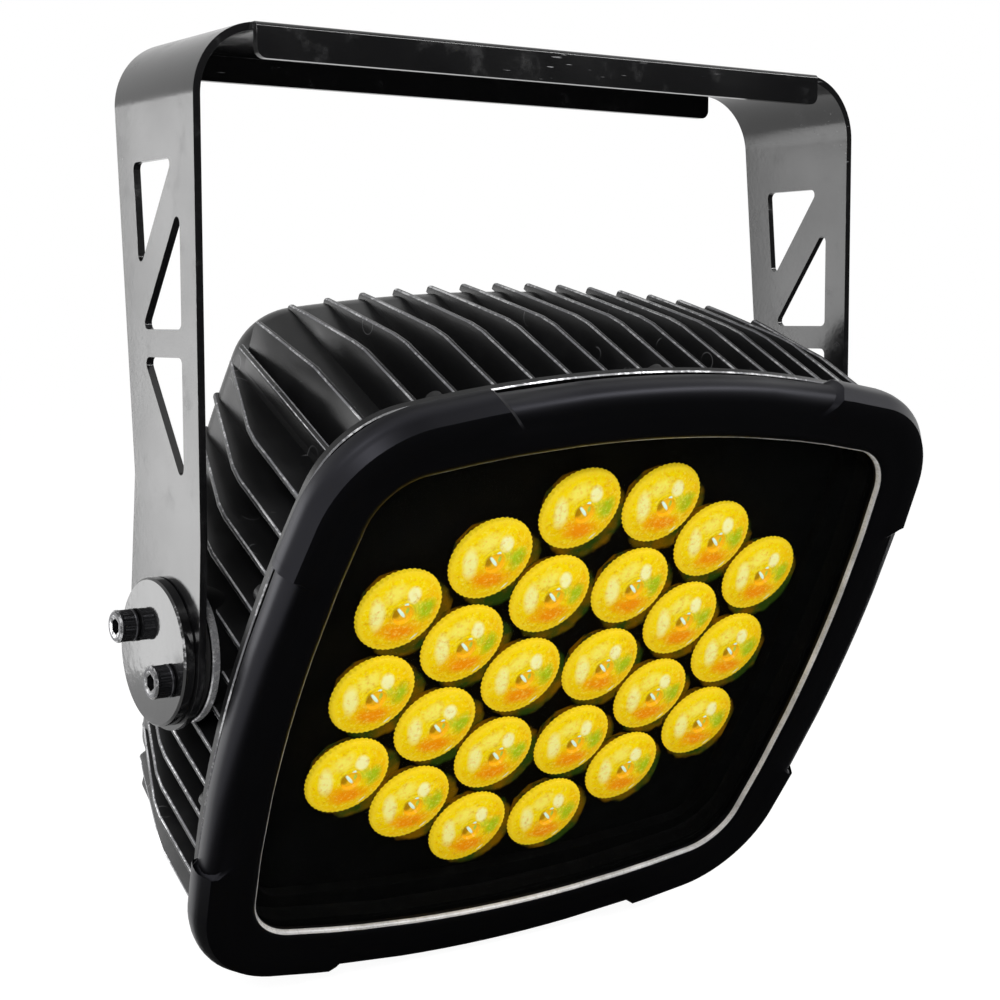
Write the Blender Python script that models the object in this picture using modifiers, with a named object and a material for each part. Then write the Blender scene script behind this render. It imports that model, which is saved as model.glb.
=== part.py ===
"""LED wash panel: a 24-lens lamp head hung in a bent sheet yoke.

All sizes are in metres, with +Z up. The origin is the middle of the yoke's top face.
Head pieces are drawn in the head's own frame: its origin is the middle of the lens rims,
-Y is the way the lamp shines, and the tilt axis runs along X through the pivot.
"""

import math

import bmesh
import bpy
from mathutils import Matrix, Vector

# General clearance between pieces that touch.
GAP = 0.0003

# Yoke: a strip bent into a U, hung by its top face.
YOKE_WIDTH = 0.336
SHEET = 0.003
BEND_RADIUS = 0.028
PIVOT_DROP = 0.2385
BAR_FRONT = -0.034
BAR_BACK = 0.038
LIP_HEIGHT = 0.0135
LIP_HALF_LENGTH = 0.143
LIP_EDGE_RADIUS = 0.0018
LIP_CORNER_RADIUS = 0.004
ARM_WAIST_BACK = 0.023
ARM_WAIST_HEIGHT = 0.068
ARM_FRONT_KNEE = 0.045
ARM_END_MARGIN = 0.007
WINDOW_FRONT_MARGIN = 0.013
WINDOW_BACK_MARGIN = 0.0145
WINDOW_TOP = 0.189
WINDOW_TIP = 0.1465
WINDOW_RIB = 0.0125
WINDOW_SILL = 0.1247
WINDOW_CROSSBAR = 0.0107
WINDOW_FOOT = 0.064
WINDOW_CORNER_RADIUS = 0.0025
HANG_HOLE_RADIUS = 0.0065
HANG_HOLE_SPACING = 0.120

# Tilt joint: hub, friction washer, clamp disc and two screws on each side.
HEAD_TILT = math.radians(29.0)
PIVOT_BACK = 0.0405
PIVOT_RISE = 0.0015
HUB_RADIUS = 0.024
HUB_CLEARANCE = 0.0003
BOSS_LEDGE = 0.005
BOSS_NECK_DRAFT = 0.003
BOSS_FLANGE = 0.0035
BOSS_SINK = 0.010
WASHER_THICKNESS = 0.0034
WASHER_WIDTH = 0.0035
DISC_LEDGE = 0.005
DISC_THICKNESS = 0.0046
DISC_EDGE = 0.0008
TILT_SCREW_MARGIN = 0.006
TILT_SCREW_RADIUS = 0.004
TILT_SCREW_LENGTH = 0.030
TILT_HEAD_RADIUS = 0.0065
TILT_HEAD_HEIGHT = 0.008
TILT_SOCKET_RADIUS = 0.0034
TILT_SOCKET_DEPTH = 0.0045

# Front bezel, measured outwards from the edge of its opening and back from the lens rims.
OPENING_HALF_WIDTH = 0.137
OPENING_HALF_HEIGHT = 0.124
SIDE_BOW = 0.560
TOP_BOW = 0.540
OPENING_CORNER = 0.026
BEZEL_WIDTH = 0.024
BEZEL_FRONT = -0.014
BEZEL_BACK = 0.0012
BEZEL_WALL_BACK = -0.0015
BEZEL_DRAFT = 0.002
BEZEL_REBATE = 0.0055
BEZEL_LIP = 0.0046
GLASS_POCKET = 0.007
BUMPER_START = 0.009
BUMPER_OUT = 0.0025
BUMPER_FORWARD = 0.0014
BUMPER_TOP_INNER = 0.070
BUMPER_TOP_SLANT = 0.875
BUMPER_SIDE_INNER = 0.0625
BUMPER_SIDE_SLANT = 0.66

# Glass, gasket and seals.
GLASS_THICKNESS = 0.004
GLASS_OVERLAP = 0.0056
GASKET_INNER = 0.0008
GASKET_OUTER = 0.0058
SEAL_INNER = 0.0086
SEAL_OUTER = 0.0118

# Heat sink casting.
FLANGE_FRONT = 0.0033
FLANGE_THICKNESS = 0.0035
FLANGE_HALF_WIDTH = 0.1575
FLANGE_HALF_HEIGHT = 0.1455
FLANGE_CORNER = 0.041
CORE_HALF_WIDTH = 0.137
CORE_HALF_HEIGHT = 0.1265
CORE_CORNER = 0.025
CORE_SIDE_BOW = 0.800
CORE_TOP_BOW = 0.750
FIN_PITCH = 0.0169
TOP_FIN_PAIRS = 7
SIDE_FIN_PAIRS = 6
CORNER_FIN_ANGLE = math.radians(33.0)
CORNER_FIN_REACH = 0.022
FIN_THICKNESS = 0.0023
FIN_START_INSET = 0.0013
FIN_ROOT_SINK = 0.003
FIN_KINK = 0.050
FIN_KINK_INSET = 0.0022
FIN_END = 0.112
FIN_END_DOME = 0.014
FIN_END_INSET = 0.0175
LAST_FIN_PLACE = 0.130
LAST_FIN_END = 0.092
LAST_FIN_INSET = 0.013
CORNER_FIN_END = 0.098
CORNER_FIN_INSET = 0.0165
CORE_BACK = 0.113
CORE_EDGE_RADIUS = 0.012
RECESS_INSET = 0.011
WEB_THICKNESS = 0.006
WALL = 0.006
BACK_RIM_DEPTH = 0.009
BACK_RIM_FLAT = 0.009

# Lenses: six columns of three, four and five, on a 42 mm pitch.
LENS_PITCH = 0.042
LENS_COLUMNS = (3, 4, 5, 5, 4, 3)
LENS_RADIUS = 0.019
LENS_RIM = 0.0025
LENS_DOME = 0.0028
LENS_DEPTH = 0.0197
LENS_NECK_RADIUS = 0.0172
LENS_FOOT_RADIUS = 0.0065
LENS_SEGMENTS = 10
HOLDER_WALL = 0.0015
EMITTER_SIZE = 0.007
EMITTER_HEIGHT = 0.0016
EMITTER_CLEARANCE = 0.0013
BOARD_THICKNESS = 0.0016
PAD_THICKNESS = 0.0009
PLATE_FRONT = 0.008
PLATE_THICKNESS = 0.0016

# Back cover and what it carries.
COVER_SEAL_THICKNESS = 0.0012
COVER_SEAL_MARGIN = 0.0062
COVER_SEAL_WIDTH = 0.0024
COVER_THICKNESS = 0.0033
COVER_MARGIN = 0.0006
COVER_SCREW_MARGIN = 0.0035
WINDOW_SIZE = (0.070, 0.024)
WINDOW_PANE = 0.002
WINDOW_LEDGE = 0.002
WINDOW_HEIGHT = 0.062
BUTTON_HEIGHT = 0.030
BUTTON_PITCH = 0.024
BUTTON_RADIUS = 0.005
BUTTON_PROUD = 0.0022
BUTTON_COLLAR = 0.0065
BUTTON_TRAVEL = 0.001
BUTTON_STEM = 0.004
BUTTON_SEGMENTS = 12
SOCKET_HEIGHT = -0.032
SOCKET_PITCH = 0.044
SOCKET_RADIUS = 0.0115
SOCKET_BORE = 0.0088
SOCKET_FLANGE_RADIUS = 0.0150
SOCKET_PROUD = 0.0085
SOCKET_BEHIND = 0.014
SOCKET_SEGMENTS = 16
VENT_PLACE = (0.084, 0.062)
VENT_RADIUS = 0.007
EYE_HEIGHT = 0.088
EYE_RADIUS = 0.011
EYE_WIRE = 0.003

# Electronics in the back chamber.
SUPPLY_SIZE = (0.180, 0.040, 0.080)
SUPPLY_CENTRE_HEIGHT = -0.058
DRIVER_SIZE = (0.190, 0.0016, 0.088)
DRIVER_CENTRE_HEIGHT = 0.050
CONTROL_SIZE = (0.104, 0.0016, 0.062)
CONTROL_CENTRE_HEIGHT = 0.047
SUPPLY_STANDOFF = 0.008
DRIVER_STANDOFF = 0.012
CONTROL_STANDOFF = 0.0115
POST_RADIUS = 0.003
WIRE_RADIUS = 0.0022
LOOM_HOLE_RADIUS = 0.0036
LED_LOOM_PLACE = (0.080, 0.060)

# Screw holes: radius and depth.
BEZEL_HOLE = (0.0016, 0.012)
COVER_HOLE = (0.0016, 0.009)
SCREW_CLEARANCE = 0.0003

# Planes that follow from the sizes above, measured back from the lens rims.
LIP_BACK = BEZEL_FRONT + BEZEL_LIP
GLASS_FRONT = LIP_BACK + GAP
GLASS_BACK = GLASS_FRONT + GLASS_THICKNESS
GASKET_FRONT = GLASS_BACK + GAP
GASKET_BACK = FLANGE_FRONT - GAP
FLANGE_BACK = FLANGE_FRONT + FLANGE_THICKNESS
BOARD_FRONT = LENS_DEPTH + EMITTER_CLEARANCE + EMITTER_HEIGHT
PAD_FRONT = BOARD_FRONT + BOARD_THICKNESS + GAP
WEB_FRONT = PAD_FRONT + PAD_THICKNESS + GAP
WEB_BACK = WEB_FRONT + WEB_THICKNESS
BACK_RIM_WIDTH = CORE_EDGE_RADIUS + BACK_RIM_FLAT
COVER_INSET = CORE_EDGE_RADIUS + COVER_MARGIN
COVER_SCREW_INSET = CORE_EDGE_RADIUS + COVER_SCREW_MARGIN
COVER_SEAL_INSET = CORE_EDGE_RADIUS + COVER_SEAL_MARGIN
COVER_SEAL_FRONT = CORE_BACK + GAP
COVER_FRONT = COVER_SEAL_FRONT + COVER_SEAL_THICKNESS + GAP
COVER_BACK = COVER_FRONT + COVER_THICKNESS
ARM_OUTER = YOKE_WIDTH / 2
ARM_INNER = ARM_OUTER - SHEET
BOSS_FACE = ARM_INNER - WASHER_THICKNESS - 2 * GAP
DISC_INNER = ARM_OUTER + GAP
DISC_OUTER = DISC_INNER + DISC_THICKNESS
BAR_CENTRE = (BAR_FRONT + BAR_BACK) / 2
ARM_END_RADIUS = HUB_RADIUS + ARM_END_MARGIN
BOSS_RADIUS = HUB_RADIUS + BOSS_LEDGE
BOSS_NECK_RADIUS = HUB_RADIUS - BOSS_NECK_DRAFT
BOSS_DEPTH = BOSS_FACE - CORE_HALF_WIDTH + BOSS_SINK
WASHER_RADIUS = HUB_RADIUS + WASHER_WIDTH
DISC_RADIUS = HUB_RADIUS + DISC_LEDGE
TILT_SCREW_OFFSET = HUB_RADIUS - TILT_SCREW_MARGIN
SUPPLY_FRONT = WEB_BACK + SUPPLY_STANDOFF
DRIVER_FRONT = WEB_BACK + DRIVER_STANDOFF
CONTROL_BACK = COVER_FRONT - CONTROL_STANDOFF
LENS_SLOPE = (LENS_NECK_RADIUS - LENS_FOOT_RADIUS) / (LENS_DEPTH - LENS_RIM)


class Outline:
    """A rounded square with bowed sides, made of eight arcs that run into each other."""

    def __init__(self, half_width, half_height, corner, side_bow=SIDE_BOW, top_bow=TOP_BOW):
        self.side_centre = half_width - side_bow
        self.top_centre = half_height - top_bow
        self.side_bow = side_bow
        self.top_bow = top_bow
        self.corner = corner
        first = side_bow - corner
        second = top_bow - corner
        span = Vector((-self.side_centre, self.top_centre))
        along = (first**2 - second**2 + span.length_squared) / (2 * span.length)
        across = math.sqrt(first**2 - along**2)
        step = span.normalized()
        centre = Vector((self.side_centre, 0)) + step * along + Vector((-step.y, step.x)) * across
        self.corner_centre = centre
        self.side_end = math.atan2(centre.y, centre.x - self.side_centre)
        self.top_start = math.atan2(centre.y - self.top_centre, centre.x)

    def side(self, angle, offset=0.0):
        radius = self.side_bow + offset
        return Vector((self.side_centre + radius * math.cos(angle), radius * math.sin(angle)))

    def corner_point(self, angle, offset=0.0):
        radius = self.corner + offset
        return self.corner_centre + radius * Vector((math.cos(angle), math.sin(angle)))

    def top(self, angle, offset=0.0):
        radius = self.top_bow + offset
        return Vector((radius * math.cos(angle), self.top_centre + radius * math.sin(angle)))

    def quarter(self, offset, side_steps, corner_steps, top_steps):
        """The first quarter, from +X to +Z, without its last point."""
        points = [self.side(self.side_end * i / side_steps, offset) for i in range(side_steps)]
        for i in range(corner_steps):
            angle = self.side_end + (self.top_start - self.side_end) * i / corner_steps
            points.append(self.corner_point(angle, offset))
        for i in range(top_steps):
            angle = self.top_start + (math.pi / 2 - self.top_start) * i / top_steps
            points.append(self.top(angle, offset))
        return points, self.top(math.pi / 2, offset)

    def ring(self, offset=0.0, side_steps=2, corner_steps=4, top_steps=2):
        """The whole outline as points in X and Z, turning from +X to +Z."""
        quarter, top = self.quarter(offset, side_steps, corner_steps, top_steps)
        right = quarter[0]
        upper = quarter + [top] + [Vector((-p.x, p.y)) for p in reversed(quarter[1:])]
        left = Vector((-right.x, right.y))
        lower = [Vector((-p.x, -p.y)) for p in quarter[1:]]
        bottom = Vector((top.x, -top.y))
        rest = [Vector((p.x, -p.y)) for p in reversed(quarter[1:])]
        return upper + [left] + lower + [bottom] + rest

    def height_at(self, x, offset=0.0):
        """How high the outline is at a distance from its middle line."""
        if x <= self.top(self.top_start, offset).x:
            return self.top_centre + math.sqrt((self.top_bow + offset) ** 2 - x**2)
        centre = self.corner_centre
        return centre.y + math.sqrt(max(0.0, (self.corner + offset) ** 2 - (x - centre.x) ** 2))

    def width_at(self, z, offset=0.0):
        """How wide the outline is, to one side, at a height."""
        if z <= self.side(self.side_end, offset).y:
            return self.side_centre + math.sqrt((self.side_bow + offset) ** 2 - z**2)
        centre = self.corner_centre
        return centre.x + math.sqrt(max(0.0, (self.corner + offset) ** 2 - (z - centre.y) ** 2))


OPENING = Outline(OPENING_HALF_WIDTH, OPENING_HALF_HEIGHT, OPENING_CORNER)
FLANGE = Outline(FLANGE_HALF_WIDTH, FLANGE_HALF_HEIGHT, FLANGE_CORNER)
CORE = Outline(CORE_HALF_WIDTH, CORE_HALF_HEIGHT, CORE_CORNER, CORE_SIDE_BOW, CORE_TOP_BOW)


def clear_scene():
    for obj in list(bpy.data.objects):
        bpy.data.objects.remove(obj, do_unlink=True)


def new_collection(name):
    collection = bpy.data.collections.new(name)
    bpy.context.scene.collection.children.link(collection)
    return collection


def make_material(name, colour, roughness, metallic=0.0, transmission=0.0):
    material = bpy.data.materials.new(name)
    material.use_nodes = True
    shader = material.node_tree.nodes["Principled BSDF"]
    shader.inputs["Base Color"].default_value = (*colour, 1.0)
    shader.inputs["Roughness"].default_value = roughness
    shader.inputs["Metallic"].default_value = metallic
    shader.inputs["Transmission Weight"].default_value = transmission
    return material


def make_materials():
    return {
        "black_paint": make_material("black_paint", (0.012, 0.012, 0.013), 0.28),
        "cast_black": make_material("cast_black", (0.015, 0.015, 0.016), 0.45, 0.3),
        "black_oxide": make_material("black_oxide", (0.03, 0.03, 0.032), 0.35, 0.9),
        "glass": make_material("glass", (0.9, 0.92, 0.95), 0.03, 0.0, 0.9),
        "rubber": make_material("rubber", (0.02, 0.02, 0.02), 0.8),
        "amber_lens": make_material("amber_lens", (1.0, 0.72, 0.02), 0.08, 0.0, 0.6),
        "black_plastic": make_material("black_plastic", (0.02, 0.02, 0.022), 0.5),
        "circuit_board": make_material("circuit_board", (0.02, 0.09, 0.04), 0.5),
        "white_board": make_material("white_board", (0.75, 0.76, 0.74), 0.5),
        "emitter": make_material("emitter", (0.9, 0.75, 0.2), 0.3),
        "thermal_pad": make_material("thermal_pad", (0.45, 0.47, 0.5), 0.8),
        "steel": make_material("steel", (0.55, 0.55, 0.56), 0.35, 1.0),
        "silicone": make_material("silicone", (0.2, 0.2, 0.21), 0.6),
        "wire_sleeve": make_material("wire_sleeve", (0.05, 0.05, 0.055), 0.6),
    }


class Bench:
    """Where the pieces are put: their collection, the cutters' collection and the materials."""

    def __init__(self):
        self.parts = new_collection("led_wash_panel")
        self.cutters = new_collection("cutters")
        self.materials = make_materials()
        self.head = self.empty("head_tilt_axis", (0, -BAR_CENTRE, -PIVOT_DROP))
        self.head.rotation_euler = (HEAD_TILT, 0, 0)

    def empty(self, name, place):
        obj = bpy.data.objects.new(name, None)
        obj.location = place
        self.parts.objects.link(obj)
        return obj

    def piece(self, name, mesh, material, on_head=True, place=(0, 0, 0), smooth=True):
        obj = bpy.data.objects.new(name, mesh)
        self.parts.objects.link(obj)
        if not mesh.materials:
            mesh.materials.append(self.materials[material])
        if smooth:
            mesh.shade_smooth()
            mesh.set_sharp_from_angle(angle=math.radians(35))
        self.put(obj, on_head, place)
        return obj

    def put(self, obj, on_head, place):
        if on_head:
            obj.parent = self.head
            obj.location = Vector(place) - Vector((0, PIVOT_BACK, PIVOT_RISE))
        else:
            obj.location = Vector(place) + Vector((0, -BAR_CENTRE, -PIVOT_DROP))

    def combine(self, target, mesh, operation="DIFFERENCE", on_head=True):
        """Cuts MESH from TARGET, or joins it on, with a Boolean modifier."""
        count = len(target.modifiers) + 1
        tool = bpy.data.objects.new(f"{target.name}_cutter_{count}", mesh)
        self.cutters.objects.link(tool)
        self.put(tool, on_head, (0, 0, 0))
        tool.hide_render = True
        tool.display_type = "WIRE"
        modifier = target.modifiers.new(f"{operation.lower()}_{count}", "BOOLEAN")
        modifier.operation = operation
        modifier.solver = "EXACT"
        modifier.object = tool


def finish(shape, name):
    """Turns a bmesh into a mesh with its faces pointing out."""
    bmesh.ops.recalc_face_normals(shape, faces=shape.faces)
    mesh = bpy.data.meshes.new(name)
    shape.to_mesh(mesh)
    shape.free()
    return mesh


def add_box(shape, low, high):
    low = Vector(low)
    high = Vector(high)
    size = high - low
    matrix = Matrix.Translation((low + high) / 2) @ Matrix.Diagonal((*size, 1.0))
    bmesh.ops.create_cube(shape, size=1.0, matrix=matrix)


def turned_to(axis):
    """The rotation that turns +Z to a main axis."""
    return Vector((0, 0, 1)).rotation_difference(Vector(axis)).to_matrix().to_4x4()


def add_cylinder(shape, start, end, radius, segments=24, end_radius=None):
    """A cylinder or cone from one point to another."""
    start = Vector(start)
    end = Vector(end)
    matrix = Matrix.Translation((start + end) / 2) @ turned_to((end - start).normalized())
    bmesh.ops.create_cone(
        shape,
        cap_ends=True,
        segments=segments,
        radius1=radius,
        radius2=radius if end_radius is None else end_radius,
        depth=(end - start).length,
        matrix=matrix,
    )


def add_prism(shape, points, travel):
    """A flat outline, given as 3-D points, pushed along TRAVEL."""
    corners = [shape.verts.new(p) for p in points]
    face = shape.faces.new(corners)
    pushed = bmesh.ops.extrude_face_region(shape, geom=[face], use_keep_orig=True)
    moved = [item for item in pushed["geom"] if isinstance(item, bmesh.types.BMVert)]
    bmesh.ops.translate(shape, verts=moved, vec=travel)


def add_loft(shape, rings, closed=False, caps=True):
    """Skins a row of rings with the same number of points."""
    rows = [[shape.verts.new(p) for p in ring] for ring in rings]
    pairs = list(zip(rows, rows[1:]))
    if closed:
        pairs.append((rows[-1], rows[0]))
    for first, second in pairs:
        for i in range(len(first)):
            j = (i + 1) % len(first)
            shape.faces.new((first[i], first[j], second[j], second[i]))
    if caps and not closed:
        shape.faces.new(rows[0])
        shape.faces.new(rows[-1])


def at_depth(points, depth):
    return [Vector((p.x, depth, p.y)) for p in points]


def frame_mesh(name, outline, inner, outer, front, back):
    """A flat frame that follows an outline between two offsets."""
    shape = bmesh.new()
    rings = [
        at_depth(outline.ring(inner), front),
        at_depth(outline.ring(outer), front),
        at_depth(outline.ring(outer), back),
        at_depth(outline.ring(inner), back),
    ]
    add_loft(shape, rings, closed=True)
    return finish(shape, name)


def plate_mesh(name, outline, offset, front, back):
    shape = bmesh.new()
    add_prism(shape, at_depth(outline.ring(offset), front), Vector((0, back - front, 0)))
    return finish(shape, name)


def box_mesh(name, *boxes):
    shape = bmesh.new()
    for low, high in boxes:
        add_box(shape, low, high)
    return finish(shape, name)


def rods_mesh(name, rods, segments=10):
    """Straight rods or holes, each given as (start, end, radius)."""
    shape = bmesh.new()
    for start, end, radius in rods:
        add_cylinder(shape, start, end, radius, segments)
    return finish(shape, name)


def turned_mesh(bench, name, profile, axis, segments):
    """A profile of (radius, height) points turned about an axis with a Screw modifier."""
    shape = bmesh.new()
    corners = [shape.verts.new((radius, 0, height)) for radius, height in profile]
    closed = profile[0][0] > 0
    for first, second in zip(corners, corners[1:]):
        shape.edges.new((first, second))
    if closed:
        shape.edges.new((corners[-1], corners[0]))
    line = bpy.data.meshes.new(f"{name}_profile")
    shape.to_mesh(line)
    shape.free()
    obj = bpy.data.objects.new(f"{name}_turning", line)
    bench.cutters.objects.link(obj)
    screw = obj.modifiers.new("turn", "SCREW")
    screw.steps = segments
    screw.render_steps = segments
    screw.use_merge_vertices = True
    screw.merge_threshold = 0.00002
    graph = bpy.context.evaluated_depsgraph_get()
    mesh = bpy.data.meshes.new_from_object(obj.evaluated_get(graph))
    mesh.name = name
    bpy.data.objects.remove(obj, do_unlink=True)
    bpy.data.meshes.remove(line)
    shape = bmesh.new()
    shape.from_mesh(mesh)
    bmesh.ops.remove_doubles(shape, verts=shape.verts, dist=0.00002)
    bmesh.ops.transform(shape, matrix=turned_to(axis), verts=shape.verts)
    bmesh.ops.recalc_face_normals(shape, faces=shape.faces)
    shape.to_mesh(mesh)
    shape.free()
    return mesh


def rounded_polygon(corners, radius, steps=2):
    """Points in a plane, with each corner replaced by an arc."""
    points = []
    count = len(corners)
    for i, corner in enumerate(corners):
        before = (corners[i - 1] - corner).normalized()
        after = (corners[(i + 1) % count] - corner).normalized()
        half = before.angle(after) / 2
        reach = radius / math.tan(half)
        centre = corner + (before + after).normalized() * radius / math.sin(half)
        start = corner + before * reach - centre
        turn = start.angle_signed(corner + after * reach - centre)
        for k in range(steps + 1):
            points.append(centre + Matrix.Rotation(-turn * k / steps, 2) @ start)
    return points


def across_x(points, x):
    return [Vector((x, p.x, p.y)) for p in points]


def tangent_angle(point, radius, side):
    """Where a line from POINT touches a circle round the origin."""
    return math.atan2(point.y, point.x) + side * math.acos(radius / point.length)


def arm_back_edge(height):
    """How far back an arm reaches at a height above the pivot."""
    share = (height - ARM_WAIST_HEIGHT) / (PIVOT_DROP - ARM_WAIST_HEIGHT)
    return ARM_WAIST_BACK + (BAR_BACK - ARM_WAIST_BACK) * share


def arm_outline(steps=12):
    """The side view of an arm, round the pivot, in Y and Z."""
    knee = Vector((BAR_FRONT, ARM_FRONT_KNEE))
    waist = Vector((ARM_WAIST_BACK, ARM_WAIST_HEIGHT))
    first = tangent_angle(knee, ARM_END_RADIUS, 1)
    last = tangent_angle(waist, ARM_END_RADIUS, -1) + 2 * math.pi
    points = [Vector((BAR_FRONT, PIVOT_DROP + SHEET)), knee]
    for i in range(steps + 1):
        angle = first + (last - first) * i / steps
        points.append(ARM_END_RADIUS * Vector((math.cos(angle), math.sin(angle))))
    points.append(waist)
    points.append(Vector((BAR_BACK, PIVOT_DROP + SHEET)))
    return points


def window_outlines():
    """The three triangular cut-outs of an arm, in Y and Z round the pivot."""
    front = BAR_FRONT + WINDOW_FRONT_MARGIN

    def back(height):
        return arm_back_edge(height) - WINDOW_BACK_MARGIN

    slope_top = Vector((front, WINDOW_SILL + 1.37 * (back(WINDOW_SILL) - front)))
    slope_foot = Vector((back(WINDOW_SILL), WINDOW_SILL))
    along = (slope_top - slope_foot).normalized()
    tip = Vector((back(WINDOW_TIP), WINDOW_TIP))
    top_front = tip + along * (WINDOW_TOP - WINDOW_TIP) / along.y
    upper = [Vector((back(WINDOW_TOP), WINDOW_TOP)), top_front, tip]
    middle = [slope_top, Vector((front, WINDOW_SILL)), slope_foot]
    level = WINDOW_SILL - WINDOW_CROSSBAR
    lower = [Vector((front, level)), Vector((front, WINDOW_FOOT)), Vector((back(level), level))]
    return [upper, middle, lower]


def strip_section(steps=6):
    """The U of the bent strip seen from the front, round the pivot, in X and Z."""
    points = []
    for inset in (0.0, SHEET):
        radius = BEND_RADIUS - inset
        run = []
        for side in (1, -1):
            centre = Vector((side * (ARM_OUTER - BEND_RADIUS), PIVOT_DROP - BEND_RADIUS))
            for i in range(steps + 1):
                angle = math.pi / 2 * (i if side == 1 else steps - i) / steps
                run.append(centre + radius * Vector((side * math.cos(angle), math.sin(angle))))
        foot = -ARM_END_RADIUS - SHEET
        run.insert(0, Vector((ARM_OUTER - inset, foot)))
        run.append(Vector((inset - ARM_OUTER, foot)))
        points.append(run)
    return points[0] + points[1][::-1]


def lip_mesh(side):
    """One of the two stiffening lips folded down along the bar."""
    edge = BAR_FRONT if side < 0 else BAR_BACK
    top = PIVOT_DROP
    fold = LIP_EDGE_RADIUS
    section = [Vector((edge - side * SHEET / 2, top))]
    for i in range(4):
        angle = math.pi / 2 * (1 - i / 3)
        out = edge + side * (SHEET - fold + fold * math.cos(angle))
        section.append(Vector((out, top - fold + fold * math.sin(angle))))
    section.append(Vector((edge + side * SHEET, top - LIP_HEIGHT)))
    section.append(Vector((edge, top - LIP_HEIGHT)))
    section.append(Vector((edge, top - SHEET)))
    section.append(Vector((edge - side * SHEET / 2, top - SHEET)))
    shape = bmesh.new()
    start = across_x(section, -LIP_HALF_LENGTH)
    add_prism(shape, start, Vector((2 * LIP_HALF_LENGTH, 0, 0)))
    return finish(shape, "lip")


def lip_trim_mesh():
    """What the lips are trimmed to: a long slab with rounded lower corners."""
    reach = LIP_HALF_LENGTH
    deep = PIVOT_DROP - LIP_HEIGHT
    high = PIVOT_DROP + 2 * LIP_HEIGHT
    corners = [Vector((-reach, deep)), Vector((reach, deep)), Vector((reach, high)), Vector((-reach, high))]
    outline = rounded_polygon(corners, LIP_CORNER_RADIUS)
    shape = bmesh.new()
    front = BAR_FRONT - 2 * SHEET
    add_prism(shape, at_depth(outline, front), Vector((0, BAR_BACK - BAR_FRONT + 4 * SHEET, 0)))
    return finish(shape, "lip_trim")


def make_yoke(bench):
    shape = bmesh.new()
    depth = BAR_BACK - BAR_FRONT + 2 * SHEET
    add_prism(shape, at_depth(strip_section(), BAR_FRONT - SHEET), Vector((0, depth, 0)))
    yoke = bench.piece("yoke_bracket", finish(shape, "yoke_bracket"), "black_paint", on_head=False)
    shape = bmesh.new()
    reach = YOKE_WIDTH
    add_prism(shape, across_x(arm_outline(), -reach), Vector((2 * reach, 0, 0)))
    bench.combine(yoke, finish(shape, "arm_side_view"), "INTERSECT", on_head=False)
    shape = bmesh.new()
    for corners in window_outlines():
        outline = rounded_polygon(corners, WINDOW_CORNER_RADIUS)
        add_prism(shape, across_x(outline, -reach), Vector((2 * reach, 0, 0)))
    add_cylinder(shape, (-reach, 0, 0), (reach, 0, 0), HUB_RADIUS + HUB_CLEARANCE, 24)
    bench.combine(yoke, finish(shape, "arm_cuts"), on_head=False)
    for side in (-1, 1):
        lip = bench.piece(f"lip_{side}", lip_mesh(side), "black_paint", on_head=False)
        bench.combine(lip, lip_trim_mesh(), "INTERSECT", on_head=False)
        graph = bpy.context.evaluated_depsgraph_get()
        trimmed = bpy.data.meshes.new_from_object(lip.evaluated_get(graph))
        bpy.data.objects.remove(lip, do_unlink=True)
        bench.combine(yoke, trimmed, "UNION", on_head=False)
    holes = []
    for side in (-1, 1):
        x = side * HANG_HOLE_SPACING / 2
        low = Vector((x, BAR_CENTRE, PIVOT_DROP - 2 * SHEET))
        high = Vector((x, BAR_CENTRE, PIVOT_DROP + SHEET))
        holes.append((low, high, HANG_HOLE_RADIUS))
    bench.combine(yoke, rods_mesh("hang_holes", holes, 20), on_head=False)


def tilt_screw_places():
    """Where the four clamp screws sit: the side and the place along the head's depth."""
    return [(side, PIVOT_BACK + k * TILT_SCREW_OFFSET) for side in (-1, 1) for k in (-1, 1)]


def make_tilt_joint(bench):
    profile = [
        (0.0, DISC_THICKNESS),
        (DISC_RADIUS - DISC_EDGE, DISC_THICKNESS),
        (DISC_RADIUS, DISC_THICKNESS - DISC_EDGE),
        (DISC_RADIUS, 0.0),
        (0.0, 0.0),
    ]
    hole = TILT_SCREW_RADIUS + SCREW_CLEARANCE
    for side, word in ((-1, "left"), (1, "right")):
        mesh = turned_mesh(bench, f"tilt_disc_{word}", profile, (side, 0, 0), 32)
        for vertex in mesh.vertices:
            vertex.co += Vector((side * DISC_INNER, PIVOT_BACK, PIVOT_RISE))
        disc = bench.piece(f"tilt_disc_{word}", mesh, "black_paint")
        holes = []
        for place_side, back in tilt_screw_places():
            if place_side == side:
                inner = Vector((side * (DISC_INNER - SHEET), back, PIVOT_RISE))
                outer = Vector((side * (DISC_OUTER + SHEET), back, PIVOT_RISE))
                holes.append((inner, outer, hole))
        bench.combine(disc, rods_mesh("disc_holes", holes, 12))
        bench.piece(f"friction_washer_{word}", washer_mesh(side), "rubber")
        for end, back in ((-1, "front"), (1, "back")):
            make_tilt_screw(bench, f"tilt_screw_{word}_{back}", side, end)


def washer_mesh(side):
    inner = HUB_RADIUS + HUB_CLEARANCE
    start = side * (BOSS_FACE + GAP)
    end = side * (ARM_INNER - GAP)
    shape = bmesh.new()
    section = ((start, inner), (start, WASHER_RADIUS), (end, WASHER_RADIUS), (end, inner))
    add_loft(shape, [pivot_ring(x, radius, 24) for x, radius in section], closed=True)
    return finish(shape, "friction_washer")


def pivot_ring(x, radius, segments):
    """A circle round the tilt axis at X."""
    points = []
    for k in range(segments):
        angle = 2 * math.pi * k / segments
        y = PIVOT_BACK + radius * math.cos(angle)
        points.append(Vector((x, y, PIVOT_RISE + radius * math.sin(angle))))
    return points


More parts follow.
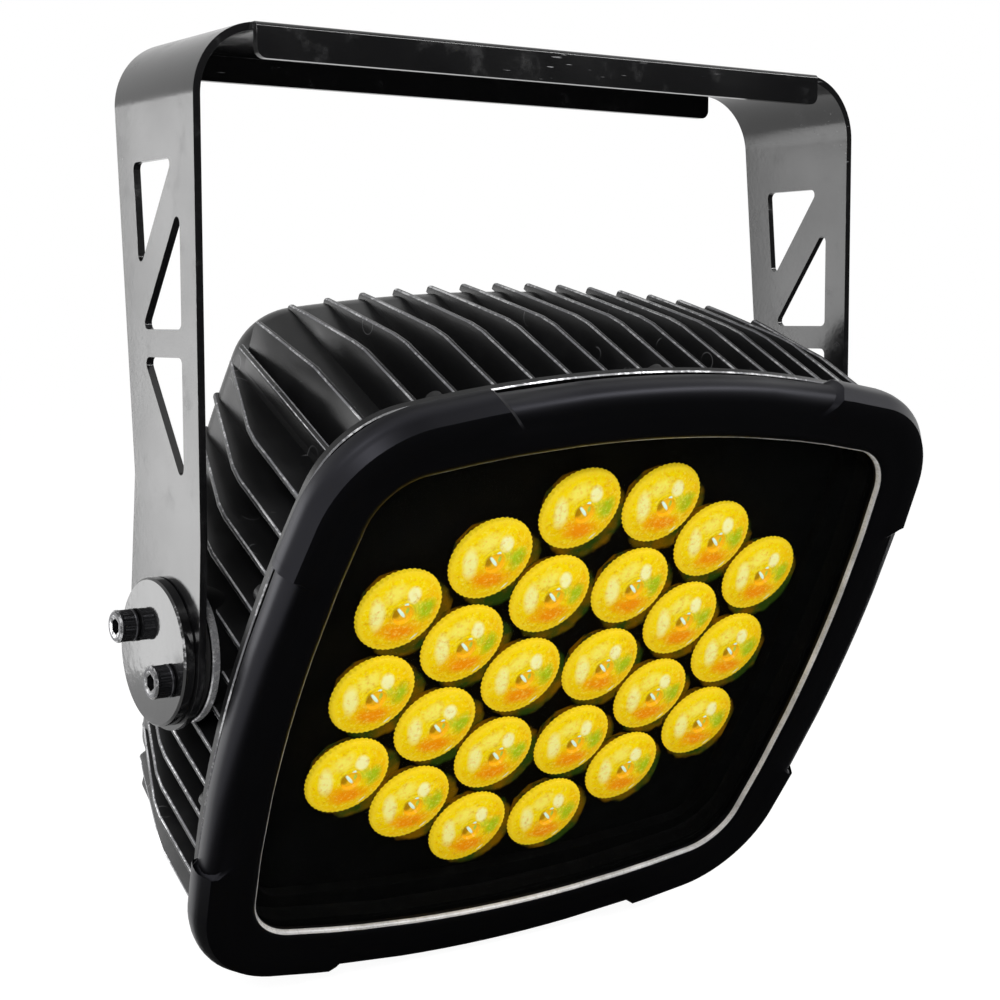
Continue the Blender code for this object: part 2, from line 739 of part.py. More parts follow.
def make_tilt_screw(bench, name, side, end):
    back = PIVOT_BACK + end * TILT_SCREW_OFFSET
    seat = DISC_OUTER + GAP
    head_end = seat + TILT_HEAD_HEIGHT
    steps = (
        (seat - TILT_SCREW_LENGTH, TILT_SCREW_RADIUS),
        (seat, TILT_SCREW_RADIUS),
        (seat, TILT_HEAD_RADIUS),
        (head_end, TILT_HEAD_RADIUS),
    )
    shape = bmesh.new()
    rings = []
    for x, radius in steps:
        ring = []
        for k in range(12):
            angle = 2 * math.pi * k / 12
            z = PIVOT_RISE + radius * math.sin(angle)
            ring.append(Vector((side * x, back + radius * math.cos(angle), z)))
        rings.append(ring)
    add_loft(shape, rings)
    screw = bench.piece(name, finish(shape, name), "black_oxide")
    socket = bmesh.new()
    bottom = (side * (head_end - TILT_SOCKET_DEPTH), back, PIVOT_RISE)
    top = (side * (head_end + TILT_SOCKET_DEPTH), back, PIVOT_RISE)
    add_cylinder(socket, bottom, top, TILT_SOCKET_RADIUS, 6)
    bench.combine(screw, finish(socket, "hex_socket"))


def bezel_stations():
    """Where the bezel's cross-section is drawn, as (quarter, kind, share or angle, raised).

    The steps at the ends of the corner bumpers slant, so their place depends on the offset.
    """
    quarter = [("side", 0.0, 0), ("side", 0.5, 0), ("side_step", 0, 0), ("side_step", 1, 1), ("side", 1.0, 1)]
    corner_steps = 6
    quarter += [("corner", i / corner_steps, 1) for i in range(1, corner_steps)]
    quarter += [("top", 0.0, 1), ("top_step", 1, 1), ("top_step", 0, 0), ("top", 0.6, 0)]
    middle = [("top", 1.0, 0)]
    upper_right = [(1, 1, *s) for s in quarter + middle]
    upper_left = [(-1, 1, *s) for s in reversed(quarter)]
    lower_left = [(-1, -1, *s) for s in quarter[1:] + middle]
    lower_right = [(1, -1, *s) for s in reversed(quarter[1:])]
    return upper_right + upper_left + lower_left + lower_right


def bezel_point(station, offset):
    """A point of the bezel in X and Z, at an offset from the edge of the opening."""
    sign_x, sign_z, kind, value, _ = station
    reach = max(0.0, offset - BUMPER_START)
    ramp = 0.0016 if kind.endswith("step") and value else 0.0
    if kind == "side":
        point = OPENING.side(OPENING.side_end * value, offset)
    elif kind == "side_step":
        height = BUMPER_SIDE_INNER + reach * BUMPER_SIDE_SLANT + ramp
        point = OPENING.side(math.asin(height / (SIDE_BOW + offset)), offset)
    elif kind == "corner":
        angle = OPENING.side_end + (OPENING.top_start - OPENING.side_end) * value
        point = OPENING.corner_point(angle, offset)
    elif kind == "top_step":
        width = BUMPER_TOP_INNER + reach * BUMPER_TOP_SLANT + ramp
        point = OPENING.top(math.acos(width / (TOP_BOW + offset)), offset)
    else:
        angle = OPENING.top_start + (math.pi / 2 - OPENING.top_start) * value
        point = OPENING.top(angle, offset)
    return Vector((sign_x * point.x, sign_z * point.y))


def bezel_section(raised):
    """The bezel's cross-section as (offset, depth) pairs; corners are raised a little."""
    out = BUMPER_OUT * raised
    front = BEZEL_FRONT - BUMPER_FORWARD * raised
    return [
        (0.0, LIP_BACK),
        (0.0, BEZEL_FRONT + 0.0014),
        (0.0014, BEZEL_FRONT),
        (BUMPER_START, BEZEL_FRONT),
        (BEZEL_WIDTH - 0.006 + out, front),
        (BEZEL_WIDTH - 0.0015 + out, BEZEL_FRONT + 0.0025),
        (BEZEL_WIDTH + out, BEZEL_FRONT + 0.006),
        (BEZEL_WIDTH + out - BEZEL_DRAFT, BEZEL_WALL_BACK),
        (BEZEL_WIDTH - BEZEL_REBATE, BEZEL_WALL_BACK),
        (BEZEL_WIDTH - BEZEL_REBATE, BEZEL_BACK),
        (GLASS_POCKET, BEZEL_BACK),
        (GLASS_POCKET, LIP_BACK),
    ]


def flange_screw_places():
    """The bezel's screws sit between fins: three along the top and bottom, two on each side."""
    inset = 0.0045
    places = []
    outer = 6 * FIN_PITCH
    wanted = [(x, sign) for x in (-outer, 0.0, outer) for sign in (-1, 1)]
    for x, sign in wanted:
        angle = math.acos(x / FLANGE.top_bow)
        point = FLANGE.top(angle, -inset)
        places.append(Vector((point.x, sign * point.y)))
    for z in (-3 * FIN_PITCH, 3 * FIN_PITCH):
        point = FLANGE.side(math.asin(z / FLANGE.side_bow), -inset)
        places.append(Vector((point.x, point.y)))
        places.append(Vector((-point.x, point.y)))
    return places


def make_bezel(bench):
    shape = bmesh.new()
    rings = []
    stations = bezel_stations()
    for station in stations:
        section = bezel_section(station[4])
        ring = []
        for offset, depth in section:
            flat = bezel_point(station, offset)
            ring.append(Vector((flat.x, depth, flat.y)))
        rings.append(ring)
    add_loft(shape, rings, closed=True)
    bezel = bench.piece("front_bezel", finish(shape, "front_bezel"), "black_paint")
    radius, length = BEZEL_HOLE
    holes = []
    for place in flange_screw_places():
        seat = Vector((place.x, FLANGE_BACK + SHEET, place.y))
        holes.append((seat - Vector((0, SHEET + length, 0)), seat, radius + SCREW_CLEARANCE))
    bench.combine(bezel, rods_mesh("bezel_holes", holes, 6))
    seal = frame_mesh("bezel_seal", OPENING, SEAL_INNER, SEAL_OUTER, BEZEL_BACK + GAP, FLANGE_FRONT - GAP)
    bench.piece("bezel_seal", seal, "rubber")
    glass = plate_mesh("front_glass", OPENING, GLASS_OVERLAP, GLASS_FRONT, GLASS_BACK)
    bench.piece("front_glass", glass, "glass")
    gasket = frame_mesh("glass_gasket", OPENING, GASKET_INNER, GASKET_OUTER, GASKET_FRONT, GASKET_BACK)
    bench.piece("glass_gasket", gasket, "silicone")
    return holes


def fin_end(share):
    """How far back a fin reaches: the back of the fins is a shallow dome."""
    return FIN_END - FIN_END_DOME * share**2


def quarter_fins():
    """The fins of one quarter in three sets: upright, level, and one on the diagonal.

    Each fin is (way out, thickness way, place on the flange's edge, place inside the core,
    how far its outer edge has come in at the back, and where it ends).
    """
    places = [(FIN_PITCH * (k + 0.5), FIN_END_INSET) for k in range(TOP_FIN_PAIRS)]
    upright = []
    for x, inset in places + [(LAST_FIN_PLACE, LAST_FIN_INSET)]:
        root = Vector((x, CORE.height_at(x, -FIN_ROOT_SINK)))
        tip = Vector((x, FLANGE.height_at(x)))
        end = LAST_FIN_END if x == LAST_FIN_PLACE else fin_end(x / FLANGE_HALF_WIDTH)
        upright.append((Vector((0, 1)), Vector((1, 0)), tip, root, (inset, end)))
    level = []
    for k in range(SIDE_FIN_PAIRS):
        z = FIN_PITCH * (k + 0.5)
        root = Vector((CORE.width_at(z, -FIN_ROOT_SINK), z))
        last = (FIN_END_INSET, fin_end(z / FLANGE_HALF_HEIGHT))
        level.append((Vector((1, 0)), Vector((0, 1)), Vector((FLANGE.width_at(z), z)), root, last))
    out = Vector((1, 1)).normalized()
    corner = FLANGE.corner_point(CORNER_FIN_ANGLE)
    root = corner - out * CORNER_FIN_REACH
    last = (CORNER_FIN_INSET, CORNER_FIN_END)
    diagonal = [(out, Vector((-1, 1)).normalized(), corner, root, last)]
    return upright, level, diagonal


def fin_side_view(out, tip, root, last):
    """A fin's side view as points in X and Z with their depths."""
    start = FLANGE_BACK - 0.001
    inset, end = last
    return [
        (tip - out * FIN_START_INSET, start),
        (tip - out * (FIN_KINK_INSET - 0.0004), FIN_KINK - 0.004),
        (tip - out * (FIN_KINK_INSET + 0.0010), FIN_KINK + 0.005),
        (tip - out * inset, end),
        (root, end),
        (root, start),
    ]


def fins_mesh(fins):
    """One set of fins, repeated in all four quarters."""
    shape = bmesh.new()
    for sign_x in (-1, 1):
        for sign_z in (-1, 1):
            flip = Vector((sign_x, sign_z))
            for out, across, tip, root, last in fins:
                rings = []
                for half in (-FIN_THICKNESS / 2, FIN_THICKNESS / 2):
                    ring = []
                    for place, depth in fin_side_view(out, tip, root, last):
                        flat = (place + across * half) * flip
                        ring.append(Vector((flat.x, depth, flat.y)))
                    rings.append(ring)
                add_loft(shape, rings)
    return finish(shape, "fins")


def core_mesh():
    """The casting's body: the flange, then the wall, with a rounded back edge."""
    sections = [(FLANGE, 0.0, FLANGE_FRONT), (FLANGE, 0.0, FLANGE_BACK), (CORE, 0.0, FLANGE_BACK)]
    steps = 2
    for i in range(steps + 1):
        angle = math.pi / 2 * i / steps
        inset = CORE_EDGE_RADIUS * (1 - math.cos(angle))
        depth = CORE_BACK - CORE_EDGE_RADIUS + CORE_EDGE_RADIUS * math.sin(angle)
        sections.append((CORE, -inset, depth))
    shape = bmesh.new()
    add_loft(shape, [at_depth(outline.ring(offset), depth) for outline, offset, depth in sections])
    return finish(shape, "heatsink_body")


def boss_mesh():
    """The pivot bosses and hubs on both flanks."""
    shape = bmesh.new()
    for side in (-1, 1):
        profile = [
            (BOSS_FACE - BOSS_DEPTH, BOSS_NECK_RADIUS),
            (BOSS_FACE - BOSS_FLANGE, BOSS_RADIUS - 0.002),
            (BOSS_FACE - BOSS_FLANGE + 0.0005, BOSS_RADIUS),
            (BOSS_FACE, BOSS_RADIUS),
            (BOSS_FACE, HUB_RADIUS),
            (ARM_OUTER, HUB_RADIUS),
        ]
        add_loft(shape, [pivot_ring(side * x, radius, 24) for x, radius in profile])
    return finish(shape, "pivot_bosses")


def post_places(size, height, end):
    """Four posts near the corners of a board, as X, where they end, and Z."""
    margin = 0.006
    places = []
    for sign_x in (-1, 1):
        for sign_z in (-1, 1):
            x = sign_x * (size[0] / 2 - margin)
            places.append((x, end, height + sign_z * (size[2] / 2 - margin)))
    return places


def supply_post_places():
    return post_places(SUPPLY_SIZE, SUPPLY_CENTRE_HEIGHT, SUPPLY_FRONT - GAP)


def driver_post_places():
    return post_places(DRIVER_SIZE, DRIVER_CENTRE_HEIGHT, DRIVER_FRONT - GAP)


def loom_hole(start, end):
    """Where the wires to the lamps pass, as (start, end, radius)."""
    x, z = LED_LOOM_PLACE
    return Vector((x, start, z)), Vector((x, end, z)), LOOM_HOLE_RADIUS


def cover_screw_places():
    """Ten screws round the back cover."""
    places = []
    offset = -COVER_SCREW_INSET
    for x in (-0.086, 0.001, 0.086):
        point = CORE.top(math.acos(x / CORE.top_bow), offset)
        places += [(point.x, point.y), (point.x, -point.y)]
    for z in (-0.048, 0.048):
        point = CORE.side(math.asin(z / CORE.side_bow), offset)
        places += [(point.x, point.y), (-point.x, point.y)]
    return places


def make_heatsink(bench, bezel_holes):
    body = bench.piece("heatsink_body", core_mesh(), "cast_black")
    for fins in quarter_fins():
        bench.combine(body, fins_mesh(fins), "UNION")
    bench.combine(body, boss_mesh(), "UNION")
    taps = []
    for side, back in tilt_screw_places():
        outer = Vector((side * (DISC_OUTER + SHEET), back, PIVOT_RISE))
        inner = Vector((side * (DISC_OUTER - TILT_SCREW_LENGTH - 2 * GAP), back, PIVOT_RISE))
        taps.append((inner, outer, TILT_SCREW_RADIUS + SCREW_CLEARANCE))
    bench.combine(body, rods_mesh("tilt_taps", taps, 12))
    recess = plate_mesh("front_recess", CORE, -RECESS_INSET, FLANGE_FRONT - SHEET, WEB_FRONT)
    bench.combine(body, recess)
    wide = -WALL
    narrow = -BACK_RIM_WIDTH
    rim_front = CORE_BACK - BACK_RIM_DEPTH
    chamber = bmesh.new()
    rings = [(wide, WEB_BACK), (wide, rim_front), (narrow, rim_front), (narrow, CORE_BACK + SHEET)]
    add_loft(chamber, [at_depth(CORE.ring(offset), depth) for offset, depth in rings])
    bench.combine(body, finish(chamber, "back_chamber"))
    posts = bmesh.new()
    for x, depth, z in supply_post_places() + driver_post_places():
        add_cylinder(posts, (x, WEB_BACK - 0.001, z), (x, depth, z), POST_RADIUS, 8)
    bench.combine(body, finish(posts, "board_posts"), "UNION")
    holes = list(bezel_holes)
    radius, length = COVER_HOLE
    for x, z in cover_screw_places():
        start = Vector((x, COVER_BACK, z))
        holes.append((start, start - Vector((0, length, 0)), radius + SCREW_CLEARANCE))
    holes.append(loom_hole(WEB_FRONT - SHEET, WEB_BACK + SHEET))
    bench.combine(body, rods_mesh("body_holes", holes, 6))


def lens_places():
    """The lens centres in X and Z, column by column from the left, each from the top."""
    column_step = LENS_PITCH * math.sqrt(3) / 2
    places = []
    middle = len(LENS_COLUMNS) / 2
    for column, count in enumerate(LENS_COLUMNS):
        steps_out = column - middle + 0.5
        beyond = abs(steps_out) - 0.5
        x = math.copysign(LENS_PITCH / 2 + beyond * column_step, steps_out)
        for row in range(count):
            places.append((x, ((count - 1) / 2 - row) * LENS_PITCH))
    return places


def make_lenses(bench):
    profile = [
        (0.0, -LENS_DOME),
        (LENS_RADIUS, 0.0),
        (LENS_RADIUS, LENS_RIM),
        (LENS_NECK_RADIUS, LENS_RIM),
        (LENS_FOOT_RADIUS, LENS_DEPTH),
        (0.0, LENS_DEPTH),
    ]
    mesh = turned_mesh(bench, "lens", profile[::-1], (0, 1, 0), LENS_SEGMENTS)
    for number, (x, z) in enumerate(lens_places(), 1):
        bench.piece(f"lens_{number:02d}", mesh, "amber_lens", place=(x, 0, z))


def lens_radius(depth):
    """The radius of a lens's tapered body at a depth."""
    return LENS_NECK_RADIUS - LENS_SLOPE * (depth - LENS_RIM)


def make_lens_plate(bench):
    """The tray that carries the lenses, with a tapered sleeve behind each."""
    inset = -RECESS_INSET - GAP
    back = PLATE_FRONT + PLATE_THICKNESS
    foot = BOARD_FRONT - GAP
    plate = bench.piece("lens_plate", plate_mesh("lens_plate", CORE, inset, PLATE_FRONT, back), "black_plastic")
    sleeves = bmesh.new()
    bores = bmesh.new()
    start = PLATE_FRONT - SHEET
    top = PLATE_FRONT + PLATE_THICKNESS / 2
    room = 3 * GAP
    for x, z in lens_places():
        outer = lens_radius(top) + room + HOLDER_WALL
        foot_radius = lens_radius(foot) + room
        add_cylinder(sleeves, (x, top, z), (x, foot, z), outer, LENS_SEGMENTS, foot_radius + HOLDER_WALL)
        end = foot + SHEET
        add_cylinder(bores, (x, start, z), (x, end, z), lens_radius(start) + room, LENS_SEGMENTS, lens_radius(end) + room)
    bench.combine(plate, finish(sleeves, "sleeves"), "UNION")
    bench.combine(plate, finish(bores, "sleeve_bores"))


def make_led_board(bench):
    """The lamps' board, with one square emitter under each lens, on its thermal pad."""
    inset = -RECESS_INSET - 0.001
    board_mesh = plate_mesh("led_board", CORE, inset, BOARD_FRONT, BOARD_FRONT + BOARD_THICKNESS)
    board = bench.piece("led_board", board_mesh, "white_board")
    half = EMITTER_SIZE / 2
    emitters = []
    for x, z in lens_places():
        low = (x - half, BOARD_FRONT - EMITTER_HEIGHT, z - half)
        emitters.append((low, (x + half, BOARD_FRONT + BOARD_THICKNESS / 2, z + half)))
    bench.combine(board, box_mesh("emitters", *emitters), "UNION")
    pad_mesh = plate_mesh("thermal_pad", CORE, inset - 0.004, PAD_FRONT, PAD_FRONT + PAD_THICKNESS)
    pad = bench.piece("thermal_pad", pad_mesh, "thermal_pad")
    bench.combine(pad, rods_mesh("pad_hole", [loom_hole(PAD_FRONT - SHEET, WEB_FRONT)], 16))


def button_places():
    words = ("menu", "down", "up", "enter")
    return [(word, BUTTON_PITCH * (k - 1.5)) for k, word in enumerate(words)]


def socket_places():
    words = ("data_out_socket", "data_in_socket", "power_out_socket", "power_in_socket")
    return [(word, SOCKET_PITCH * (k - 1.5)) for k, word in enumerate(words)]


def make_cover(bench):
    cover_mesh = plate_mesh("rear_cover", CORE, -COVER_INSET, COVER_FRONT, COVER_BACK)
    cover = bench.piece("rear_cover", cover_mesh, "cast_black")
    half_x, half_z = WINDOW_SIZE[0] / 2, WINDOW_SIZE[1] / 2
    rebate = COVER_BACK - WINDOW_PANE - GAP
    edge = half_x + GAP
    side = half_z + GAP
    rebate_low = (-edge, rebate, WINDOW_HEIGHT - side)
    rebate_high = (edge, COVER_BACK + SHEET, WINDOW_HEIGHT + side)
    bench.combine(cover, box_mesh("window_rebate", (rebate_low, rebate_high)))
    edge = half_x - WINDOW_LEDGE
    side = half_z - WINDOW_LEDGE
    hole_low = (-edge, COVER_FRONT - SHEET, WINDOW_HEIGHT - side)
    hole_high = (edge, COVER_BACK, WINDOW_HEIGHT + side)
    bench.combine(cover, box_mesh("window_hole", (hole_low, hole_high)))
    holes = bmesh.new()

    def through(x, z, radius, segments):
        start = (x, COVER_FRONT - SHEET, z)
        add_cylinder(holes, start, (x, COVER_BACK + SHEET, z), radius, segments)

    for _, x in button_places():
        through(x, BUTTON_HEIGHT, BUTTON_RADIUS + GAP, BUTTON_SEGMENTS)
    for _, x in socket_places():
        through(x, SOCKET_HEIGHT, SOCKET_RADIUS + GAP, SOCKET_SEGMENTS)
    through(*VENT_PLACE, VENT_RADIUS * 0.6 + GAP, 12)
    for x, z in cover_screw_places():
        through(x, z, COVER_HOLE[0] + SCREW_CLEARANCE, 6)
    for x in (-EYE_RADIUS, EYE_RADIUS):
        through(x, EYE_HEIGHT, EYE_WIRE + 2 * GAP, 8)
    bench.combine(cover, finish(holes, "cover_holes"))
    posts = bmesh.new()
    for x, end, z in post_places(CONTROL_SIZE, CONTROL_CENTRE_HEIGHT, CONTROL_BACK + GAP):
        add_cylinder(posts, (x, COVER_FRONT + 0.001, z), (x, end, z), POST_RADIUS, 8)
    bench.combine(cover, finish(posts, "control_posts"), "UNION")
    pane = box_mesh(
        "display_window",
        ((-half_x, rebate + GAP, WINDOW_HEIGHT - half_z), (half_x, COVER_BACK, WINDOW_HEIGHT + half_z)),
    )
    bench.piece("display_window", pane, "glass")
    inner = -COVER_SEAL_INSET - COVER_SEAL_WIDTH
    seal_back = COVER_SEAL_FRONT + COVER_SEAL_THICKNESS
    seal = frame_mesh("rear_cover_seal", CORE, inner, -COVER_SEAL_INSET, COVER_SEAL_FRONT, seal_back)
    bench.piece("rear_cover_seal", seal, "rubber")


def make_buttons(bench):
    collar_back = COVER_FRONT - GAP
    profile = [
        (0.0, BUTTON_PROUD),
        (BUTTON_RADIUS - 0.0008, BUTTON_PROUD),
        (BUTTON_RADIUS, BUTTON_PROUD - 0.0008),
        (BUTTON_RADIUS, collar_back - COVER_BACK),
        (BUTTON_COLLAR, collar_back - COVER_BACK),
        (BUTTON_COLLAR, collar_back - COVER_BACK - 0.0012),
        (BUTTON_RADIUS * 0.5, collar_back - COVER_BACK - 0.0012),
        (BUTTON_RADIUS * 0.5, collar_back - COVER_BACK - BUTTON_STEM),
        (0.0, collar_back - COVER_BACK - BUTTON_STEM),
    ]
    mesh = turned_mesh(bench, "button", profile, (0, 1, 0), BUTTON_SEGMENTS)
    for word, x in button_places():
        bench.piece(f"button_{word}", mesh, "rubber", place=(x, COVER_BACK, BUTTON_HEIGHT))


def make_sockets(bench):
    seat = GAP
    bore_floor = -SOCKET_BEHIND + 0.005
    profile = [
        (0.0, bore_floor),
        (SOCKET_BORE, bore_floor),
        (SOCKET_BORE, SOCKET_PROUD),
        (SOCKET_RADIUS, SOCKET_PROUD),
        (SOCKET_RADIUS, seat + 0.0024),
        (SOCKET_FLANGE_RADIUS, seat + 0.0024),
        (SOCKET_FLANGE_RADIUS, seat),
        (SOCKET_RADIUS, seat),
        (SOCKET_RADIUS, -SOCKET_BEHIND),
        (0.0, -SOCKET_BEHIND),
    ]
    mesh = turned_mesh(bench, "socket", profile, (0, 1, 0), SOCKET_SEGMENTS)
    for word, x in socket_places():
        bench.piece(word, mesh, "black_plastic", place=(x, COVER_BACK, SOCKET_HEIGHT))
    vent = [
        (0.0, 0.0045),
        (VENT_RADIUS - 0.001, 0.0045),
        (VENT_RADIUS, 0.0035),
        (VENT_RADIUS, GAP),
        (VENT_RADIUS * 0.6, GAP),
        (VENT_RADIUS * 0.6, -0.006),
        (0.0, -0.006),
    ]
    mesh = turned_mesh(bench, "vent_plug", vent, (0, 1, 0), 12)
    bench.piece("vent_plug", mesh, "black_plastic", place=(VENT_PLACE[0], COVER_BACK, VENT_PLACE[1]))


def tube_mesh(bench, name, route, radius):
    """A round wire along a list of points: a POLY curve with filled caps, made a mesh."""
    curve = bpy.data.curves.new(name, "CURVE")
    curve.dimensions = "3D"
    curve.bevel_depth = radius
    curve.bevel_resolution = 1
    curve.use_fill_caps = True
    spline = curve.splines.new("POLY")
    spline.points.add(len(route) - 1)
    for point, place in zip(spline.points, route):
        point.co = (*place, 1.0)
    obj = bpy.data.objects.new(name, curve)
    bench.cutters.objects.link(obj)
    graph = bpy.context.evaluated_depsgraph_get()
    wire = bpy.data.meshes.new_from_object(obj.evaluated_get(graph))
    bpy.data.objects.remove(obj, do_unlink=True)
    shape = bmesh.new()
    shape.from_mesh(wire)
    bpy.data.meshes.remove(wire)
    bmesh.ops.remove_doubles(shape, verts=shape.verts, dist=0.00002)
    return finish(shape, name)


def bent_route(start, start_pull, end, end_pull, steps=7):
    """A smooth route that leaves START along one pull and comes to END against the other."""
    first = Vector(start)
    last = Vector(end)
    second = first + Vector(start_pull)
    third = last + Vector(end_pull)
    points = []
    for i in range(steps + 1):
        t = i / steps
        u = 1 - t
        points.append(first * u**3 + second * 3 * u**2 * t + third * 3 * u * t**2 + last * t**3)
    return points


def make_safety_eye(bench):
    """A steel loop for the safety bond: two legs through the cover and a half round."""
    legs_front = COVER_FRONT - 0.006
    top = COVER_BACK + 0.010
    route = [Vector((-EYE_RADIUS, legs_front, EYE_HEIGHT)), Vector((-EYE_RADIUS, COVER_BACK, EYE_HEIGHT))]
    steps = 8
    for i in range(steps + 1):
        angle = math.pi * (1 - i / steps)
        along = EYE_RADIUS * math.cos(angle)
        route.append(Vector((along, top + EYE_RADIUS * math.sin(angle), EYE_HEIGHT)))
    route += [Vector((EYE_RADIUS, COVER_BACK, EYE_HEIGHT)), Vector((EYE_RADIUS, legs_front, EYE_HEIGHT))]
    bench.piece("safety_eye", tube_mesh(bench, "safety_eye", route, EYE_WIRE), "steel")


def centred_box(centre, size):
    centre = Vector(centre)
    half = Vector(size) / 2
    return centre - half, centre + half


def make_electronics(bench):
    """The supply and the driver board on the casting's posts, the control board on the cover's."""
    centre = (0, SUPPLY_FRONT + SUPPLY_SIZE[1] / 2, SUPPLY_CENTRE_HEIGHT)
    bench.piece("power_supply", box_mesh("power_supply", centred_box(centre, SUPPLY_SIZE)), "steel")
    centre = (0, DRIVER_FRONT + DRIVER_SIZE[1] / 2, DRIVER_CENTRE_HEIGHT)
    driver = bench.piece("driver_board", box_mesh("driver_board", centred_box(centre, DRIVER_SIZE)), "circuit_board")
    tall = []
    for k in range(4):
        x = (k - 1.5) * 0.042
        low = (x - 0.008, DRIVER_FRONT + 0.0008, DRIVER_CENTRE_HEIGHT - 0.008)
        tall.append((low, (x + 0.008, DRIVER_FRONT + 0.014, DRIVER_CENTRE_HEIGHT + 0.008)))
    control_front = CONTROL_BACK - CONTROL_SIZE[1]
    tall.append(((-0.018, DRIVER_FRONT + 0.0008, 0.068), (0.018, control_front - GAP, 0.074)))
    bench.combine(driver, box_mesh("coils_and_header", *tall), "UNION")
    centre = (0, CONTROL_BACK - CONTROL_SIZE[1] / 2, CONTROL_CENTRE_HEIGHT)
    control_mesh = box_mesh("control_board", centred_box(centre, CONTROL_SIZE))
    control = bench.piece("control_board", control_mesh, "circuit_board")
    half_x, half_z = WINDOW_SIZE[0] / 2 - WINDOW_LEDGE, WINDOW_SIZE[1] / 2 - WINDOW_LEDGE
    low = (0.001 - half_x, CONTROL_BACK - 0.0008, WINDOW_HEIGHT - half_z + 0.001)
    raised = [(low, (half_x - 0.001, COVER_FRONT - GAP, WINDOW_HEIGHT + half_z - 0.001))]
    switch_top = COVER_FRONT - GAP - BUTTON_STEM - BUTTON_TRAVEL - GAP
    for _, x in button_places():
        low = (x - 0.003, CONTROL_BACK - 0.0008, BUTTON_HEIGHT - 0.003)
        raised.append((low, (x + 0.003, switch_top, BUTTON_HEIGHT + 0.003)))
    bench.combine(control, box_mesh("display_and_switches", *raised), "UNION")


def make_looms(bench):
    """Three wire looms: power socket to supply, supply to driver, driver to lamps."""
    room = 2 * GAP
    start = (socket_places()[3][1], COVER_BACK - SOCKET_BEHIND - room, SOCKET_HEIGHT)
    end = (start[0], SUPPLY_FRONT + SUPPLY_SIZE[1] + room, SOCKET_HEIGHT - 0.018)
    route = bent_route(start, (0, -0.010, 0), end, (0, 0.010, 0))
    bench.piece("supply_loom", tube_mesh(bench, "supply_loom", route, WIRE_RADIUS), "wire_sleeve")
    supply_top = SUPPLY_CENTRE_HEIGHT + SUPPLY_SIZE[2] / 2 + room
    start = (-0.070, DRIVER_FRONT + 0.016, supply_top)
    end = (-0.070, DRIVER_FRONT + DRIVER_SIZE[1] + room, 0.020)
    route = bent_route(start, (0, 0, 0.020), end, (0, 0.016, 0))
    bench.piece("driver_loom", tube_mesh(bench, "driver_loom", route, WIRE_RADIUS), "wire_sleeve")
    x, z = LED_LOOM_PLACE
    route = [(x, BOARD_FRONT + BOARD_THICKNESS + GAP, z), (x, DRIVER_FRONT - GAP, z)]
    bench.piece("led_loom", tube_mesh(bench, "led_loom", route, WIRE_RADIUS), "wire_sleeve")


def main():
    clear_scene()
    bench = Bench()
    make_yoke(bench)
    make_tilt_joint(bench)
    bezel_holes = make_bezel(bench)
    make_heatsink(bench, bezel_holes)
    make_lenses(bench)
    make_lens_plate(bench)
    make_led_board(bench)
    make_cover(bench)
    make_buttons(bench)
    make_sockets(bench)
    make_safety_eye(bench)
    make_electronics(bench)
    make_looms(bench)


if __name__ == "__main__":
    main()
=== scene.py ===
"""The looks of an LED wash panel: a 24-lens lamp head hung in a bent sheet yoke.

Sizes are in metres, with +Z up. Head pieces are drawn in the head's own frame, whose origin is
the middle of the lens rims with -Y the way the lamp shines, and are then tilted into place.
"""

import math

import bmesh
import bpy
from mathutils import Matrix, Vector


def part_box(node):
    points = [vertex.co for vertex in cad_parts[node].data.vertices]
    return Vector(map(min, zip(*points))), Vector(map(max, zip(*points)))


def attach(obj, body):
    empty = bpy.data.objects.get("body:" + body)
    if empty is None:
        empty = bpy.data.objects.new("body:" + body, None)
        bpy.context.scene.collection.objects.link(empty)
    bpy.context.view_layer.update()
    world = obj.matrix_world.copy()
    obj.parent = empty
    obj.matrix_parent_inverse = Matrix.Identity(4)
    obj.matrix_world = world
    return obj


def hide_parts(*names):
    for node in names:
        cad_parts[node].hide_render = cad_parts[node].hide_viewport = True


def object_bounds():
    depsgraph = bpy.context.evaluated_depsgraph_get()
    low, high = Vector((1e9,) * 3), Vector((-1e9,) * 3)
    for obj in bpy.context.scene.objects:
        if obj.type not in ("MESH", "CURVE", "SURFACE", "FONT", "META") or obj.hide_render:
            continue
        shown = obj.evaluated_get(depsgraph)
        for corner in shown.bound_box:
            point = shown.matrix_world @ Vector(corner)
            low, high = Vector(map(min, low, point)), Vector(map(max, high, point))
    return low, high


bl_info = {
    "name": "LED Wash Panel",
    "version": (1, 0, 0),
    "blender": (4, 5, 0),
    "location": "3D View > Sidebar > Wash Panel",
    "description": "Builds the visible pieces of a yoke-mounted LED wash panel",
    "category": "Object",
}

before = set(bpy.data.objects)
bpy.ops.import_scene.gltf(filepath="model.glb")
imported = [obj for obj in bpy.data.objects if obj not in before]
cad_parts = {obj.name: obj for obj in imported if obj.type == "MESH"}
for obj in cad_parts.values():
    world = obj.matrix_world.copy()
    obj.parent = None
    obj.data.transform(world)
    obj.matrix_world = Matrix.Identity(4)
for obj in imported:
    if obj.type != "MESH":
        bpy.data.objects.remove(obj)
CAD_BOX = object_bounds()

GAP = 0.0003

